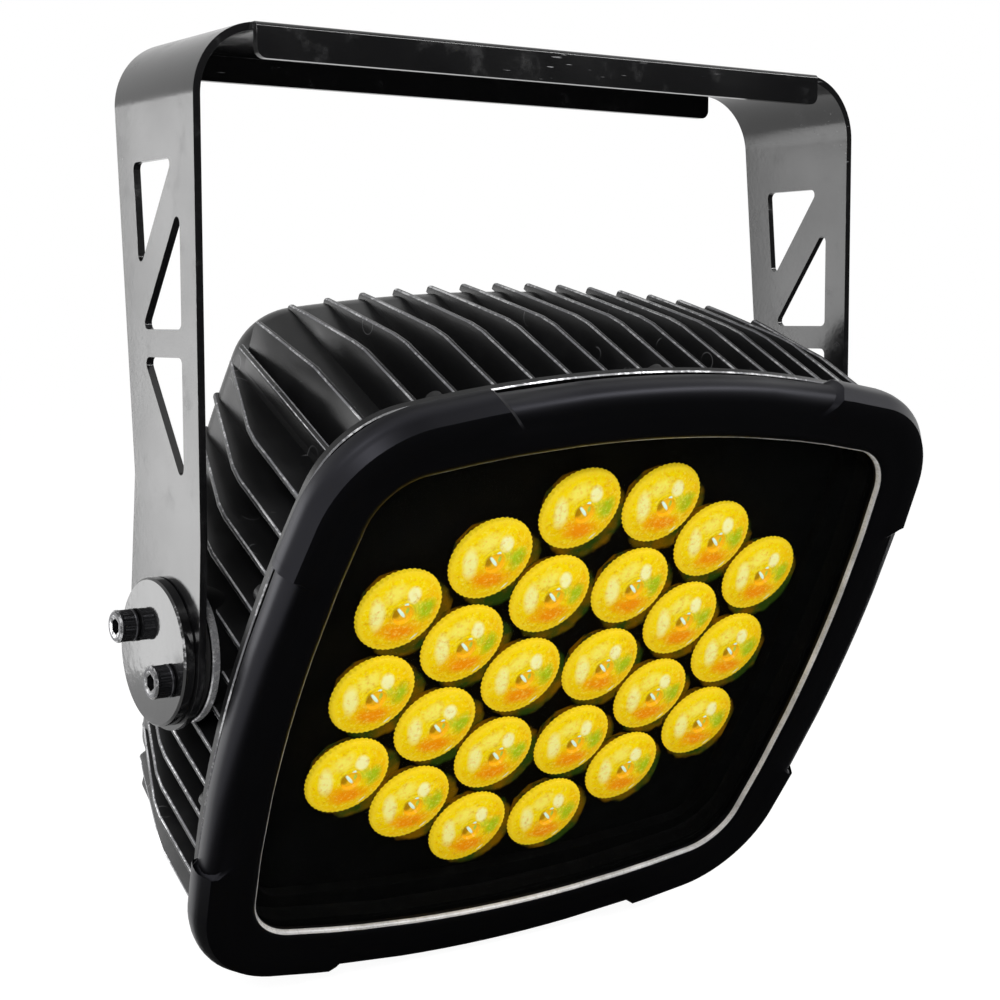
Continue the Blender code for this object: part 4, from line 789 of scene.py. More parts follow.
def turned(name, profile, edges=(), segments=48):
    """A closed turned piece from (radius, depth) or (radius, depth, sides) steps."""
    shape = bmesh.new()
    rings = [circle(step[1], step[0], segments, *step[2:]) for step in profile]
    loft(shape, rings, edges)
    return mesh_of(shape, name)


def recoated(shape, first, last, count, slot):
    """Gives the faces between two of a loft's rows of COUNT points another material."""
    shape.faces.ensure_lookup_table()
    for face in shape.faces[first * count:last * count]:
        face.material_index = slot


def prism(shape, points, travel):
    """A closed solid: an outline pushed along TRAVEL."""
    corners = [shape.verts.new(p) for p in points]
    face = shape.faces.new(corners)
    pushed = bmesh.ops.extrude_face_region(shape, geom=[face], use_keep_orig=True)
    moved = [item for item in pushed["geom"] if isinstance(item, bmesh.types.BMVert)]
    bmesh.ops.translate(shape, verts=moved, vec=travel)


def at_depth(points, depth):
    return [Vector((p.x, depth, p.y)) for p in points]


def across_x(points, x):
    return [Vector((x, p.x, p.y)) for p in points]


def evaluated(obj):
    """The plain mesh that an object's modifiers give; the object is removed."""
    graph = bpy.context.evaluated_depsgraph_get()
    mesh = bpy.data.meshes.new_from_object(obj.evaluated_get(graph))
    bpy.data.objects.remove(obj, do_unlink=True)
    if not mesh.polygons:
        raise RuntimeError(f"{mesh.name} came out empty")
    return mesh


def loose(name, mesh):
    obj = bpy.data.objects.new(name, mesh)
    bpy.context.scene.collection.objects.link(obj)
    return obj


def combined(mesh, tool, operation="DIFFERENCE"):
    """MESH after a Boolean with TOOL."""
    body = loose("body", mesh)
    other = loose("tool", tool)
    modifier = body.modifiers.new("combine", "BOOLEAN")
    modifier.operation = operation
    modifier.solver = "EXACT"
    modifier.object = other
    made = evaluated(body)
    bpy.data.objects.remove(other, do_unlink=True)
    return made


def softened(mesh, width, segments=2):
    """Rounds the sharp edges, and gives the rounding the second material."""
    shape = bmesh.new()
    shape.from_mesh(mesh)
    bmesh.ops.remove_doubles(shape, verts=shape.verts, dist=0.00004)
    bmesh.ops.dissolve_limit(shape, angle_limit=0.002, verts=shape.verts, edges=shape.edges)
    shape.to_mesh(mesh)
    shape.free()
    while len(mesh.materials) < 2:
        mesh.materials.append(None)
    obj = loose("softened", mesh)
    bevel = obj.modifiers.new("round", "BEVEL")
    bevel.width = width
    bevel.segments = segments
    bevel.limit_method = "ANGLE"
    bevel.angle_limit = SHARP
    bevel.material = 1
    bevel.face_strength_mode = "FSTR_ALL"
    flat = obj.modifiers.new("flat", "WEIGHTED_NORMAL")
    flat.mode = "FACE_AREA_WITH_ANGLE"
    flat.weight = 100
    flat.keep_sharp = True
    for polygon in mesh.polygons:
        polygon.use_smooth = True
    return evaluated(obj)


def place_piece(name, mesh, materials, body, place, replaces=(), shade=True):
    """Puts a finished mesh in the scene and ties it to its body."""
    mesh.transform(place)
    while len(mesh.materials) < len(materials):
        mesh.materials.append(None)
    for slot_number, material in enumerate(materials):
        mesh.materials[slot_number] = finish_named(material)
    if shade:
        mesh.shade_smooth()
        mesh.set_sharp_from_angle(angle=SHARP)
    piece = loose(name, mesh)
    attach(piece, body)
    if replaces:
        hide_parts(*replaces)
    return piece


def new_tree(name, inputs):
    """A Geometry Nodes tree with a geometry input and output, and named inputs."""
    tree = bpy.data.node_groups.new(name, "GeometryNodeTree")
    tree.interface.new_socket(name="Geometry", in_out="INPUT", socket_type="NodeSocketGeometry")
    for label, kind in inputs:
        tree.interface.new_socket(name=label, in_out="INPUT", socket_type=kind)
    tree.interface.new_socket(name="Geometry", in_out="OUTPUT", socket_type="NodeSocketGeometry")
    return tree, tree.nodes.new("NodeGroupInput"), tree.nodes.new("NodeGroupOutput")


def named(tree, name, kind="FLOAT_VECTOR"):
    """A named attribute's output."""
    node = tree.nodes.new("GeometryNodeInputNamedAttribute")
    node.data_type = kind
    node.inputs["Name"].default_value = name
    return node.outputs["Attribute"]


def dress(tree, geometry, inputs, output):
    """Ends a tree with the main material, and the edge material on the edge faces."""
    body = tree.nodes.new("GeometryNodeSetMaterial")
    edge = tree.nodes.new("GeometryNodeSetMaterial")
    tree.links.new(geometry, body.inputs["Geometry"])
    tree.links.new(inputs.outputs["Material"], body.inputs["Material"])
    tree.links.new(body.outputs[0], edge.inputs["Geometry"])
    tree.links.new(named(tree, "edge", "BOOLEAN"), edge.inputs["Selection"])
    tree.links.new(inputs.outputs["Edge Material"], edge.inputs["Material"])
    tree.links.new(edge.outputs[0], output.inputs[0])


def repeat_tree():
    """Copies a piece to each point, turned by the point's own turn."""
    found = bpy.data.node_groups.get("repeat_on_points")
    if found:
        return found
    tree, inputs, output = new_tree(
        "repeat_on_points",
        [
            ("Piece", "NodeSocketObject"),
            ("Size", "NodeSocketFloat"),
            ("Material", "NodeSocketMaterial"),
            ("Edge Material", "NodeSocketMaterial"),
        ],
    )
    piece = tree.nodes.new("GeometryNodeObjectInfo")
    copies = tree.nodes.new("GeometryNodeInstanceOnPoints")
    tree.links.new(inputs.outputs["Piece"], piece.inputs["Object"])
    tree.links.new(inputs.outputs["Geometry"], copies.inputs["Points"])
    tree.links.new(piece.outputs["Geometry"], copies.inputs["Instance"])
    tree.links.new(named(tree, "turn"), copies.inputs["Rotation"])
    tree.links.new(inputs.outputs["Size"], copies.inputs["Scale"])
    realised = tree.nodes.new("GeometryNodeRealizeInstances")
    tree.links.new(copies.outputs[0], realised.inputs[0])
    dress(tree, realised.outputs[0], inputs, output)
    return tree


def run_tree(name, mesh, tree, values):
    """The mesh that a Geometry Nodes tree makes from MESH."""
    obj = loose(name, mesh)
    modifier = obj.modifiers.new("nodes", "NODES")
    modifier.node_group = tree
    for item in tree.interface.items_tree:
        if item.in_out == "INPUT" and item.name in values:
            modifier[item.identifier] = values[item.name]
    return evaluated(obj)


def repeated(name, template, places, materials, size=1.0):
    """Copies of TEMPLATE at (place, turn) pairs, as one mesh."""
    points = bpy.data.meshes.new(f"{name}_points")
    points.from_pydata([place for place, _ in places], [], [])
    turns = points.attributes.new("turn", "FLOAT_VECTOR", "POINT")
    for item, (_, turn) in zip(turns.data, places):
        item.vector = turn
    piece = loose(f"{name}_template", template)
    main, edge = (finish_named(m) for m in materials)
    values = {"Piece": piece, "Size": size, "Material": main, "Edge Material": edge}
    mesh = run_tree(name, points, repeat_tree(), values)
    bpy.data.objects.remove(piece, do_unlink=True)
    return mesh


def rounded_polygon(corners, radius, steps=5):
    """The outline of CORNERS with each corner rounded."""
    points = []
    count = len(corners)
    for i, corner in enumerate(corners):
        before = (corners[i - 1] - corner).normalized()
        after = (corners[(i + 1) % count] - corner).normalized()
        half = before.angle(after) / 2
        reach = radius / math.tan(half)
        centre = corner + (before + after).normalized() * radius / math.sin(half)
        start = corner + before * reach - centre
        turn = start.angle_signed(corner + after * reach - centre)
        for k in range(steps + 1):
            points.append(centre + Matrix.Rotation(-turn * k / steps, 2) @ start)
    return points


def arm_back_edge(height):
    share = (height - ARM_WAIST.y) / (PIVOT_DROP - ARM_WAIST.y)
    return ARM_WAIST.x + (BAR_BACK - ARM_WAIST.x) * share


def arm_outline(steps=40):
    """The side view of an arm, round the pivot."""
    knee = Vector((BAR_FRONT, ARM_FRONT_KNEE))
    first = math.atan2(knee.y, knee.x) + math.acos(ARM_END_RADIUS / knee.length)
    waist_turn = math.acos(ARM_END_RADIUS / ARM_WAIST.length)
    last = math.atan2(ARM_WAIST.y, ARM_WAIST.x) - waist_turn + 2 * math.pi
    points = [Vector((BAR_FRONT, PIVOT_DROP + SHEET)), knee]
    for i in range(steps + 1):
        angle = first + (last - first) * i / steps
        points.append(ARM_END_RADIUS * Vector((math.cos(angle), math.sin(angle))))
    return points + [ARM_WAIST.copy(), Vector((BAR_BACK, PIVOT_DROP + SHEET))]


def cutouts():
    """The three triangular cut-outs of an arm."""
    front = BAR_FRONT + CUTOUT_FRONT_MARGIN

    def back(height):
        return arm_back_edge(height) - CUTOUT_BACK_MARGIN

    rise = CUTOUT_SLOPE * (back(CUTOUT_SILL) - front)
    slope_top = Vector((front, CUTOUT_SILL + rise))
    slope_foot = Vector((back(CUTOUT_SILL), CUTOUT_SILL))
    along = (slope_top - slope_foot).normalized()
    tip = Vector((back(CUTOUT_TIP), CUTOUT_TIP))
    top_front = tip + along * (CUTOUT_TOP - CUTOUT_TIP) / along.y
    level = CUTOUT_SILL - CUTOUT_CROSSBAR
    return [
        [Vector((back(CUTOUT_TOP), CUTOUT_TOP)), top_front, tip],
        [slope_top, Vector((front, CUTOUT_SILL)), slope_foot],
        [Vector((front, level)), Vector((front, CUTOUT_FOOT)), Vector((back(level), level))],
    ]


def strip_section(steps=20):
    """The U of the bent strip seen from the front."""
    sides = []
    for inset in (0.0, SHEET):
        radius = BEND_RADIUS - inset
        run = []
        for side in (1, -1):
            centre = Vector((side * (ARM_OUTER - BEND_RADIUS), PIVOT_DROP - BEND_RADIUS))
            for i in range(steps + 1):
                angle = math.pi / 2 * (i if side == 1 else steps - i) / steps
                run.append(centre + radius * Vector((side * math.cos(angle), math.sin(angle))))
        foot = -ARM_END_RADIUS - SHEET
        run.insert(0, Vector((ARM_OUTER - inset, foot)))
        run.append(Vector((inset - ARM_OUTER, foot)))
        sides.append(run)
    return sides[0] + sides[1][::-1]


def lip_mesh(side):
    """One of the two stiffening lips folded down along the bar."""
    edge = BAR_FRONT if side < 0 else BAR_BACK
    top = PIVOT_DROP
    fold = LIP_EDGE_RADIUS
    section = [Vector((edge - side * SHEET / 2, top))]
    for i in range(9):
        angle = math.pi / 2 * (1 - i / 8)
        out = edge + side * (SHEET - fold + fold * math.cos(angle))
        section.append(Vector((out, top - fold + fold * math.sin(angle))))
    section.append(Vector((edge + side * SHEET, top - LIP_HEIGHT)))
    section.append(Vector((edge, top - LIP_HEIGHT)))
    section.append(Vector((edge, top - SHEET)))
    section.append(Vector((edge - side * SHEET / 2, top - SHEET)))
    shape = bmesh.new()
    prism(shape, across_x(section, -LIP_HALF_LENGTH), Vector((2 * LIP_HALF_LENGTH, 0, 0)))
    lip = mesh_of(shape, "lip", smooth=False)
    low, high = PIVOT_DROP - LIP_HEIGHT, PIVOT_DROP + 2 * LIP_HEIGHT
    reach = LIP_HALF_LENGTH
    corners = [Vector(p) for p in ((-reach, low), (reach, low), (reach, high), (-reach, high))]
    outline = rounded_polygon(corners, LIP_CORNER_RADIUS)
    shape = bmesh.new()
    depth = BAR_BACK - BAR_FRONT + 4 * SHEET
    prism(shape, at_depth(outline, BAR_FRONT - 2 * SHEET), Vector((0, depth, 0)))
    return combined(lip, mesh_of(shape, "lip_trim", smooth=False), "INTERSECT")


def yoke_mesh():
    """The bent strip cut to the arms' side view, with its lips, cut-outs and holes."""
    shape = bmesh.new()
    depth = BAR_BACK - BAR_FRONT + 2 * SHEET
    prism(shape, at_depth(strip_section(), BAR_FRONT - SHEET), Vector((0, depth, 0)))
    mesh = mesh_of(shape, "yoke", smooth=False)
    reach = YOKE_WIDTH
    through = Vector((2 * reach, 0, 0))
    shape = bmesh.new()
    prism(shape, across_x(arm_outline(), -reach), through)
    mesh = combined(mesh, mesh_of(shape, "side_view", smooth=False), "INTERSECT")
    shape = bmesh.new()
    for corners in cutouts():
        outline = rounded_polygon(corners, CUTOUT_CORNER)
        prism(shape, across_x(outline, -reach), through)
    hub = circle(-reach, HUB_RADIUS + GAP, 64)
    prism(shape, [Vector((p.y, p.x, p.z)) for p in hub], through)
    mesh = combined(mesh, mesh_of(shape, "arm_cuts", smooth=False))
    for side in (-1, 1):
        mesh = combined(mesh, lip_mesh(side), "UNION")
    shape = bmesh.new()
    for side in (-1, 1):
        centre = Vector((side * HANG_HOLE_SPACING / 2, BAR_CENTRE, PIVOT_DROP))
        hole = circle(-2 * SHEET, HANG_HOLE_RADIUS, 40)
        ring = [centre + Vector((p.x, p.z, p.y)) for p in hole]
        prism(shape, ring, Vector((0, 0, 3 * SHEET)))
    return combined(mesh, mesh_of(shape, "hang_holes", smooth=False))


def bezel_stations():
    """Where the bezel's section is drawn, as (sign x, sign z, kind, share, raised)."""
    quarter = [("side", i / 8, 0) for i in range(4)]
    quarter += [("side_step", 0, 0), ("side_step", 1, 1)]
    quarter += [("side", 0.75, 1), ("side", 1.0, 1)]
    quarter += [("corner", i / 14, 1) for i in range(1, 14)]
    quarter += [("top", 0.0, 1), ("top", 0.2, 1), ("top_step", 1, 1), ("top_step", 0, 0)]
    quarter += [("top", share, 0) for share in (0.60, 0.70, 0.80, 0.90)]
    middle = [("top", 1.0, 0)]
    rows = [(1, 1, *s) for s in quarter + middle]
    rows += [(-1, 1, *s) for s in reversed(quarter)]
    rows += [(-1, -1, *s) for s in quarter[1:] + middle]
    return rows + [(1, -1, *s) for s in reversed(quarter[1:])]


def bezel_point(station, offset):
    """A station's point at an offset out from the opening's edge."""
    sign_x, sign_z, kind, value, _ = station
    reach = max(0.0, offset - BUMPER_START)
    ramp = BUMPER_RAMP if kind.endswith("step") and value else 0.0
    if kind == "side":
        point = OPENING.side(OPENING.side_end * value, offset)
    elif kind == "side_step":
        height = BUMPER_SIDE_INNER + reach * BUMPER_SIDE_SLANT + ramp
        point = OPENING.side(math.asin(height / (SIDE_BOW + offset)), offset)
    elif kind == "corner":
        angle = OPENING.side_end + (OPENING.top_start - OPENING.side_end) * value
        point = OPENING.corner_point(angle, offset)
    elif kind == "top_step":
        width = BUMPER_TOP_INNER + reach * BUMPER_TOP_SLANT + ramp
        point = OPENING.top(math.acos(width / (TOP_BOW + offset)), offset)
    else:
        angle = OPENING.top_start + (math.pi / 2 - OPENING.top_start) * value
        point = OPENING.top(angle, offset)
    return Vector((sign_x * point.x, sign_z * point.y))


def bezel_section(raised):
    """The bezel's section as (offset, depth); the rows between rounded corners are edges."""
    out = BUMPER_OUT * raised
    front = BEZEL_FRONT - BUMPER_FORWARD * raised
    outer = BEZEL_WIDTH + out
    return [
        (0.0, LIP_BACK),
        (0.0, BEZEL_FRONT + 0.0030),
        (0.0003, BEZEL_FRONT + 0.0018),
        (0.0011, BEZEL_FRONT + 0.0009),
        (0.0024, BEZEL_FRONT + 0.0003),
        (0.0042, BEZEL_FRONT),
        (BUMPER_START, BEZEL_FRONT),
        (BUMPER_START + 0.004, (BEZEL_FRONT + front) / 2),
        (outer - 0.0065, front),
        (outer - 0.0036, front + 0.0006),
        (outer - 0.0015, BEZEL_FRONT + 0.0025),
        (outer - 0.0004, BEZEL_FRONT + 0.0042),
        (outer, BEZEL_FRONT + 0.006),
        (outer - 0.0001, BEZEL_FRONT + 0.009),
        (outer - BEZEL_DRAFT, BEZEL_WALL_BACK - 0.0006),
        (outer - BEZEL_DRAFT - 0.0008, BEZEL_WALL_BACK),
        (BEZEL_WIDTH - BEZEL_REBATE, BEZEL_WALL_BACK),
        (BEZEL_WIDTH - BEZEL_REBATE, BEZEL_BACK),
        (GLASS_POCKET, BEZEL_BACK),
        (GLASS_POCKET, LIP_BACK),
    ]


# The row on the rear half of the bezel's side wall, which takes the light grey edge finish as a
# painted reflection.
BEZEL_REFLECTION_ROWS = (14,)


def bezel_mesh():
    """The bezel's section carried round the opening, with raised corner bumpers."""
    rings = []
    for station in bezel_stations():
        ring = []
        for offset, depth in bezel_section(station[4]):
            flat = bezel_point(station, offset)
            ring.append(Vector((flat.x, depth, flat.y)))
        rings.append(ring)
    shape = bmesh.new()
    loft(shape, list(zip(*rings)), BEZEL_REFLECTION_ROWS, closed=True)
    # Painted highlight: the opening's inner rounding takes the pale rim finish, a light line all
    # round.
    recoated(shape, 1, 3, len(rings), 2)
    return mesh_of(shape, "front_frame")


def shell_mesh():
    """The casting without its fins: flange, wall, rounded back, chamber and recess."""
    rows = [
        (CORE, -RECESS_INSET, WEB_FRONT),
        (CORE, -RECESS_INSET, FLANGE_FRONT),
        (FLANGE, -0.0005, FLANGE_FRONT),
        (FLANGE, 0.0, FLANGE_FRONT + 0.0005),
        (FLANGE, 0.0, FLANGE_BACK - 0.0005),
        (FLANGE, -0.0005, FLANGE_BACK),
        (CORE, 0.002, FLANGE_BACK),
        (CORE, 0.0006, FLANGE_BACK + 0.0006),
        (CORE, 0.0, FLANGE_BACK + 0.002),
    ]
    for i in range(7):
        angle = math.pi / 2 * i / 6
        inset = CORE_EDGE_RADIUS * (1 - math.cos(angle))
        depth = CORE_BACK - CORE_EDGE_RADIUS + CORE_EDGE_RADIUS * math.sin(angle)
        rows.append((CORE, -inset, depth))
    rows += [
        (CORE, -BACK_RIM_WIDTH, CORE_BACK),
        (CORE, -BACK_RIM_WIDTH, CORE_BACK - BACK_RIM_DEPTH),
        (CORE, -WALL, CORE_BACK - BACK_RIM_DEPTH),
        (CORE, -WALL, WEB_BACK),
    ]
    shape = bmesh.new()
    # The flange's round edges take the edge finish, a painted highlight with rubbed patches.
    loft(shape, [at_depth(line.ring(offset), depth) for line, offset, depth in rows], (2, 4))
    # Painted shade: the recess wall and the flange front behind the glass take the near-black third
    # finish.
    recoated(shape, 0, 2, len(CORE.ring()), 2)
    return mesh_of(shape, "casting_shell")


def boss_profile():
    """The pivot boss and its hub, from the casting's core out through the arm."""
    return [
        (BOSS_NECK_RADIUS, BOSS_FACE - BOSS_DEPTH),
        (BOSS_RADIUS - 0.002, BOSS_FACE - BOSS_FLANGE),
        (BOSS_RADIUS, BOSS_FACE - BOSS_FLANGE + 0.0005),
        (BOSS_RADIUS, BOSS_FACE - 0.0005),
        (BOSS_RADIUS - 0.0005, BOSS_FACE),
        (HUB_RADIUS, BOSS_FACE),
        (HUB_RADIUS, ARM_OUTER),
    ]


def fin_end(share):
    return FIN_END - FIN_END_DOME * share**2


def quarter_fins():
    """The fins of one quarter as (out, across, tip, root, inset at the end, end)."""
    fins = []
    right, up = Vector((1, 0)), Vector((0, 1))
    places = [FIN_PITCH * (k + 0.5) for k in range(TOP_FIN_PAIRS)]
    places = [(x, FIN_END_INSET - FIN_END_LIFT * (x / places[-1]) ** 2) for x in places]
    for x, inset in places + [(LAST_FIN_PLACE, LAST_FIN[0])]:
        end = LAST_FIN[1] if x == LAST_FIN_PLACE else fin_end(x / FLANGE_HALF[0])
        root = Vector((x, CORE.height_at(x, -FIN_ROOT_SINK)))
        tip = Vector((x, FLANGE.height_at(x)))
        fins.append((up, right, tip, root, inset, end))
    for k in range(SIDE_FIN_PAIRS):
        z = FIN_PITCH * (k + 0.5)
        root = Vector((CORE.width_at(z, -FIN_ROOT_SINK), z))
        tip = Vector((FLANGE.width_at(z), z))
        end = fin_end(z / FLANGE_HALF[1])
        fins.append((right, up, tip, root, FIN_END_INSET, end))
    out = (right + up).normalized()
    corner = FLANGE.corner_point(CORNER_FIN_ANGLE)
    root = corner - out * CORNER_FIN_REACH
    fins.append((out, (up - right).normalized(), corner, root, *CORNER_FIN))
    return fins


def fin_points():
    """One point for each fin, carrying what its shape follows from."""
    fins = []
    for flip in [Vector((a, b)) for a in (-1, 1) for b in (-1, 1)]:
        for out, across, tip, root, inset, end in quarter_fins():
            fins.append((out * flip, across * flip, tip * flip, root * flip, (inset, end, 0)))
    points = bpy.data.meshes.new("fin_points")
    points.from_pydata([(0, 0, 0)] * len(fins), [], [])
    for number, name in enumerate(("fin_out", "fin_across", "fin_tip", "fin_root", "fin_last")):
        layer = points.attributes.new(name, "FLOAT_VECTOR", "POINT")
        for item, fin in zip(layer.data, fins):
            value = fin[number]
            item.vector = value if len(value) == 3 else (value.x, 0, value.y)
    return points


def fin_template():
    """A fin in shares: rows from the flange to its rear end, each a round-edged strip."""
    knob = sizes().fin_knob
    steps = [(0, 0, 0), (0.5, 0, 0), (1, 0, 0), (0.5, 0.5, 0), (0, 1, 0)]
    steps += [(0, 1 - t, t) for t in (0.25, 0.5, 0.75)]
    rows = [(step, 0, 0) for step in steps]
    for i in range(6):
        angle = math.pi / 2 * i / 5
        rows.append(((0, 0, 1), knob * (1 - math.sin(angle)), knob * (1 - math.cos(angle))))
    edge = (-0.0006, 1.0), (-0.00018, 0.82), (0.0, 0.55)
    strip = [(0, 0, -1.0)] + [(1, inset, -w) for inset, w in edge]
    strip += [(1, inset, w) for inset, w in reversed(edge)] + [(0, 0, 1.0)]
    shape = bmesh.new()
    weights = shape.verts.layers.float_vector.new("fin_weights")
    trims = shape.verts.layers.float_vector.new("fin_trims")
    shares = shape.verts.layers.float_vector.new("fin_shares")
    # The points only have to lie apart here: the tree puts each in its place.
    rings = []
    for number in range(len(rows)):
        rings.append([Vector((k, number, 0.1 * k * k)) * 0.001 for k in range(len(strip))])
    loft(shape, rings)
    flag = shape.faces.layers.bool.get("edge")
    shape.verts.ensure_lookup_table()
    for index, vert in enumerate(shape.verts):
        row, k = divmod(index, len(strip))
        vert[weights] = rows[row][0]
        vert[trims] = (rows[row][1], rows[row][2], 0)
        vert[shares] = strip[k]
    # The round edges of each fin take the edge finish: painted highlight lines, with rubbed patches.
    for face in shape.faces:
        if len(face.verts) == 4:
            places = [v[shares] for v in face.verts]
            face[flag] = min(p.x for p in places) == 1 and max(abs(p.z) for p in places) > 0.6
    mesh = bpy.data.meshes.new("fin_template")
    shape.to_mesh(mesh)
    shape.free()
    return mesh


def fin_tree():
    """Bends the template to each fin: kinked outer edge, its own root, inset and end."""
    tree, inputs, output = new_tree(
        "cooling_fins",
        [
            ("Piece", "NodeSocketObject"),
            ("Thickness", "NodeSocketFloat"),
            ("Start", "NodeSocketVector"),
            ("Before Kink", "NodeSocketVector"),
            ("After Kink", "NodeSocketVector"),
            ("Material", "NodeSocketMaterial"),
            ("Edge Material", "NodeSocketMaterial"),
        ],
    )

    def vector(operation, first, second, kind="ShaderNodeVectorMath"):
        node = tree.nodes.new(kind)
        node.operation = operation
        for socket, value in zip(node.inputs, (first, second)):
            if isinstance(value, bpy.types.NodeSocket):
                tree.links.new(value, socket)
            else:
                socket.default_value = value
        return node.outputs[0]

    def number(operation, first, second):
        return vector(operation, first, second, "ShaderNodeMath")

    def scaled(first, factor):
        node = tree.nodes.new("ShaderNodeVectorMath")
        node.operation = "SCALE"
        tree.links.new(first, node.inputs[0])
        tree.links.new(factor, node.inputs["Scale"])
        return node.outputs["Vector"]

    def parts(value):
        node = tree.nodes.new("ShaderNodeSeparateXYZ")
        tree.links.new(value, node.inputs[0])
        return node.outputs

    piece = tree.nodes.new("GeometryNodeObjectInfo")
    copies = tree.nodes.new("GeometryNodeInstanceOnPoints")
    realised = tree.nodes.new("GeometryNodeRealizeInstances")
    tree.links.new(inputs.outputs["Piece"], piece.inputs["Object"])
    tree.links.new(inputs.outputs["Geometry"], copies.inputs["Points"])
    tree.links.new(piece.outputs["Geometry"], copies.inputs["Instance"])
    tree.links.new(copies.outputs[0], realised.inputs[0])
    weights = parts(named(tree, "fin_weights"))
    trims = parts(named(tree, "fin_trims"))
    shares = parts(named(tree, "fin_shares"))
    start = inputs.outputs["Start"]
    # Each anchor is (inset, depth), so their blend gives both at once.
    line = start
    anchors = (inputs.outputs["Before Kink"], inputs.outputs["After Kink"], named(tree, "fin_last"))
    for anchor, weight in zip(anchors, weights):
        line = vector("ADD", line, scaled(vector("SUBTRACT", anchor, start), weight))
    line = parts(line)
    inset = number("ADD", line["X"], trims["Y"])
    depth = number("SUBTRACT", line["Y"], trims["X"])
    out = named(tree, "fin_out")
    root = named(tree, "fin_root")
    outer = vector("SUBTRACT", named(tree, "fin_tip"), scaled(out, inset))
    place = vector("ADD", root, scaled(vector("SUBTRACT", outer, root), shares["X"]))
    place = vector("ADD", place, scaled(out, shares["Y"]))
    half = number("MULTIPLY", inputs.outputs["Thickness"], 0.5)
    across = scaled(scaled(named(tree, "fin_across"), shares["Z"]), half)
    place = vector("ADD", place, across)
    back = tree.nodes.new("ShaderNodeCombineXYZ")
    tree.links.new(depth, back.inputs["Y"])
    place = vector("ADD", place, back.outputs[0])
    moved = tree.nodes.new("GeometryNodeSetPosition")
    tree.links.new(realised.outputs[0], moved.inputs["Geometry"])
    tree.links.new(place, moved.inputs["Position"])
    dress(tree, moved.outputs[0], inputs, output)
    return tree


def fins_mesh():
    """All the fins as one mesh."""
    piece = loose("fin_template", fin_template())
    values = {
        "Piece": piece,
        "Thickness": sizes().fin_thickness,
        "Start": (FIN_START_INSET, FLANGE_BACK - 0.001, 0),
        "Before Kink": (FIN_KINK_INSET - 0.0004, FIN_KINK - 0.004, 0),
        "After Kink": (FIN_KINK_INSET + 0.0010, FIN_KINK + 0.005, 0),
        "Material": finish_named("casting"),
        # The edge finish paints highlight lines along the fins, with rubbed patches.
        "Edge Material": finish_named("casting_edge_highlight_and_wear"),
    }
    mesh = run_tree("fins", fin_points(), fin_tree(), values)
    bpy.data.objects.remove(piece, do_unlink=True)
    outward(mesh)
    return mesh


def outward(mesh):
    """Turns every face of a closed mesh to point out."""
    shape = bmesh.new()
    shape.from_mesh(mesh)
    bmesh.ops.recalc_face_normals(shape, faces=shape.faces)
    shape.to_mesh(mesh)
    shape.free()


def lens_places():
    """The middle of each lens, column by column from the left and down each column."""
    step = LENS_PITCH * math.sqrt(3) / 2
    middle = len(LENS_COLUMNS) / 2
    places = []
    for column, count in enumerate(LENS_COLUMNS):
        steps_out = column - middle + 0.5
        x = math.copysign(LENS_PITCH / 2 + (abs(steps_out) - 0.5) * step, steps_out)
        for row in range(count):
            places.append(Vector((x, 0, ((count - 1) / 2 - row) * LENS_PITCH)))
    return places


def lens_template():
    """A collimator: centre dome in a groove, crowned face, toothed rim, tapered body."""
    look = lens_look()
    radius = look.radius
    rings = []

    def crown(r):
        return -LENS_DOME * (1 - (r / radius) ** 2)

    def ring(r, depth, tooth=0.0):
        rings.append(circle(depth, r, 96, 0, tooth))

    for r in LENS_TIP_RADII:
        ring(r, crown(r) + LENS_TIP_SINK + LENS_TIP_FALL * (r / LENS_TIP_RADII[-1]) ** 2)
    ring(LENS_GROOVE_RADIUS, crown(LENS_GROOVE_RADIUS) + LENS_GROOVE_DEPTH)
    ring(LENS_GROOVE_RIM, crown(LENS_GROOVE_RIM) + 0.0001)
    for share in LENS_FACE_SHARES:
        ring(radius * share, crown(radius * share))
    ring(radius - 0.0011, crown(radius - 0.0011))
    ring(radius - 0.0003, 0.0, look.tooth)
    ring(radius, 0.0005, look.tooth)
    ring(radius, LENS_RIM - 0.0004, look.tooth)
    ring(radius - 0.0004, LENS_RIM, look.tooth)
    ring(LENS_NECK_RADIUS, LENS_RIM)
    first_wall = len(rings) - 3
    ring(LENS_FOOT_RADIUS, LENS_DEPTH - 0.0004)
    ring(LENS_FOOT_RADIUS - 0.0004, LENS_DEPTH)
    shape = bmesh.new()
    loft(shape, rings, tuple(range(first_wall, len(rings))))
    own = shape.verts.layers.float_vector.new("lens_place")
    for vert in shape.verts:
        vert[own] = vert.co / radius
    return mesh_of(shape, "lens_template")


def screw_template(head):
    """A button-head screw with a hexagon socket, its seat at the origin and its head along +Y."""
    high = head * 0.6
    hexagon = head * 0.52
    return turned(
        "screw_template",
        [
            (head * 0.5, -0.008),
            (head * 0.5, 0.0),
            (head, 0.0),
            (head, high * 0.35),
            (head * 0.93, high * 0.66),
            (head * 0.74, high * 0.94),
            (head * 0.64, high),
            (hexagon, high, 6),
            (hexagon, high * 0.25, 6),
        ],
        (5, 6),
    )


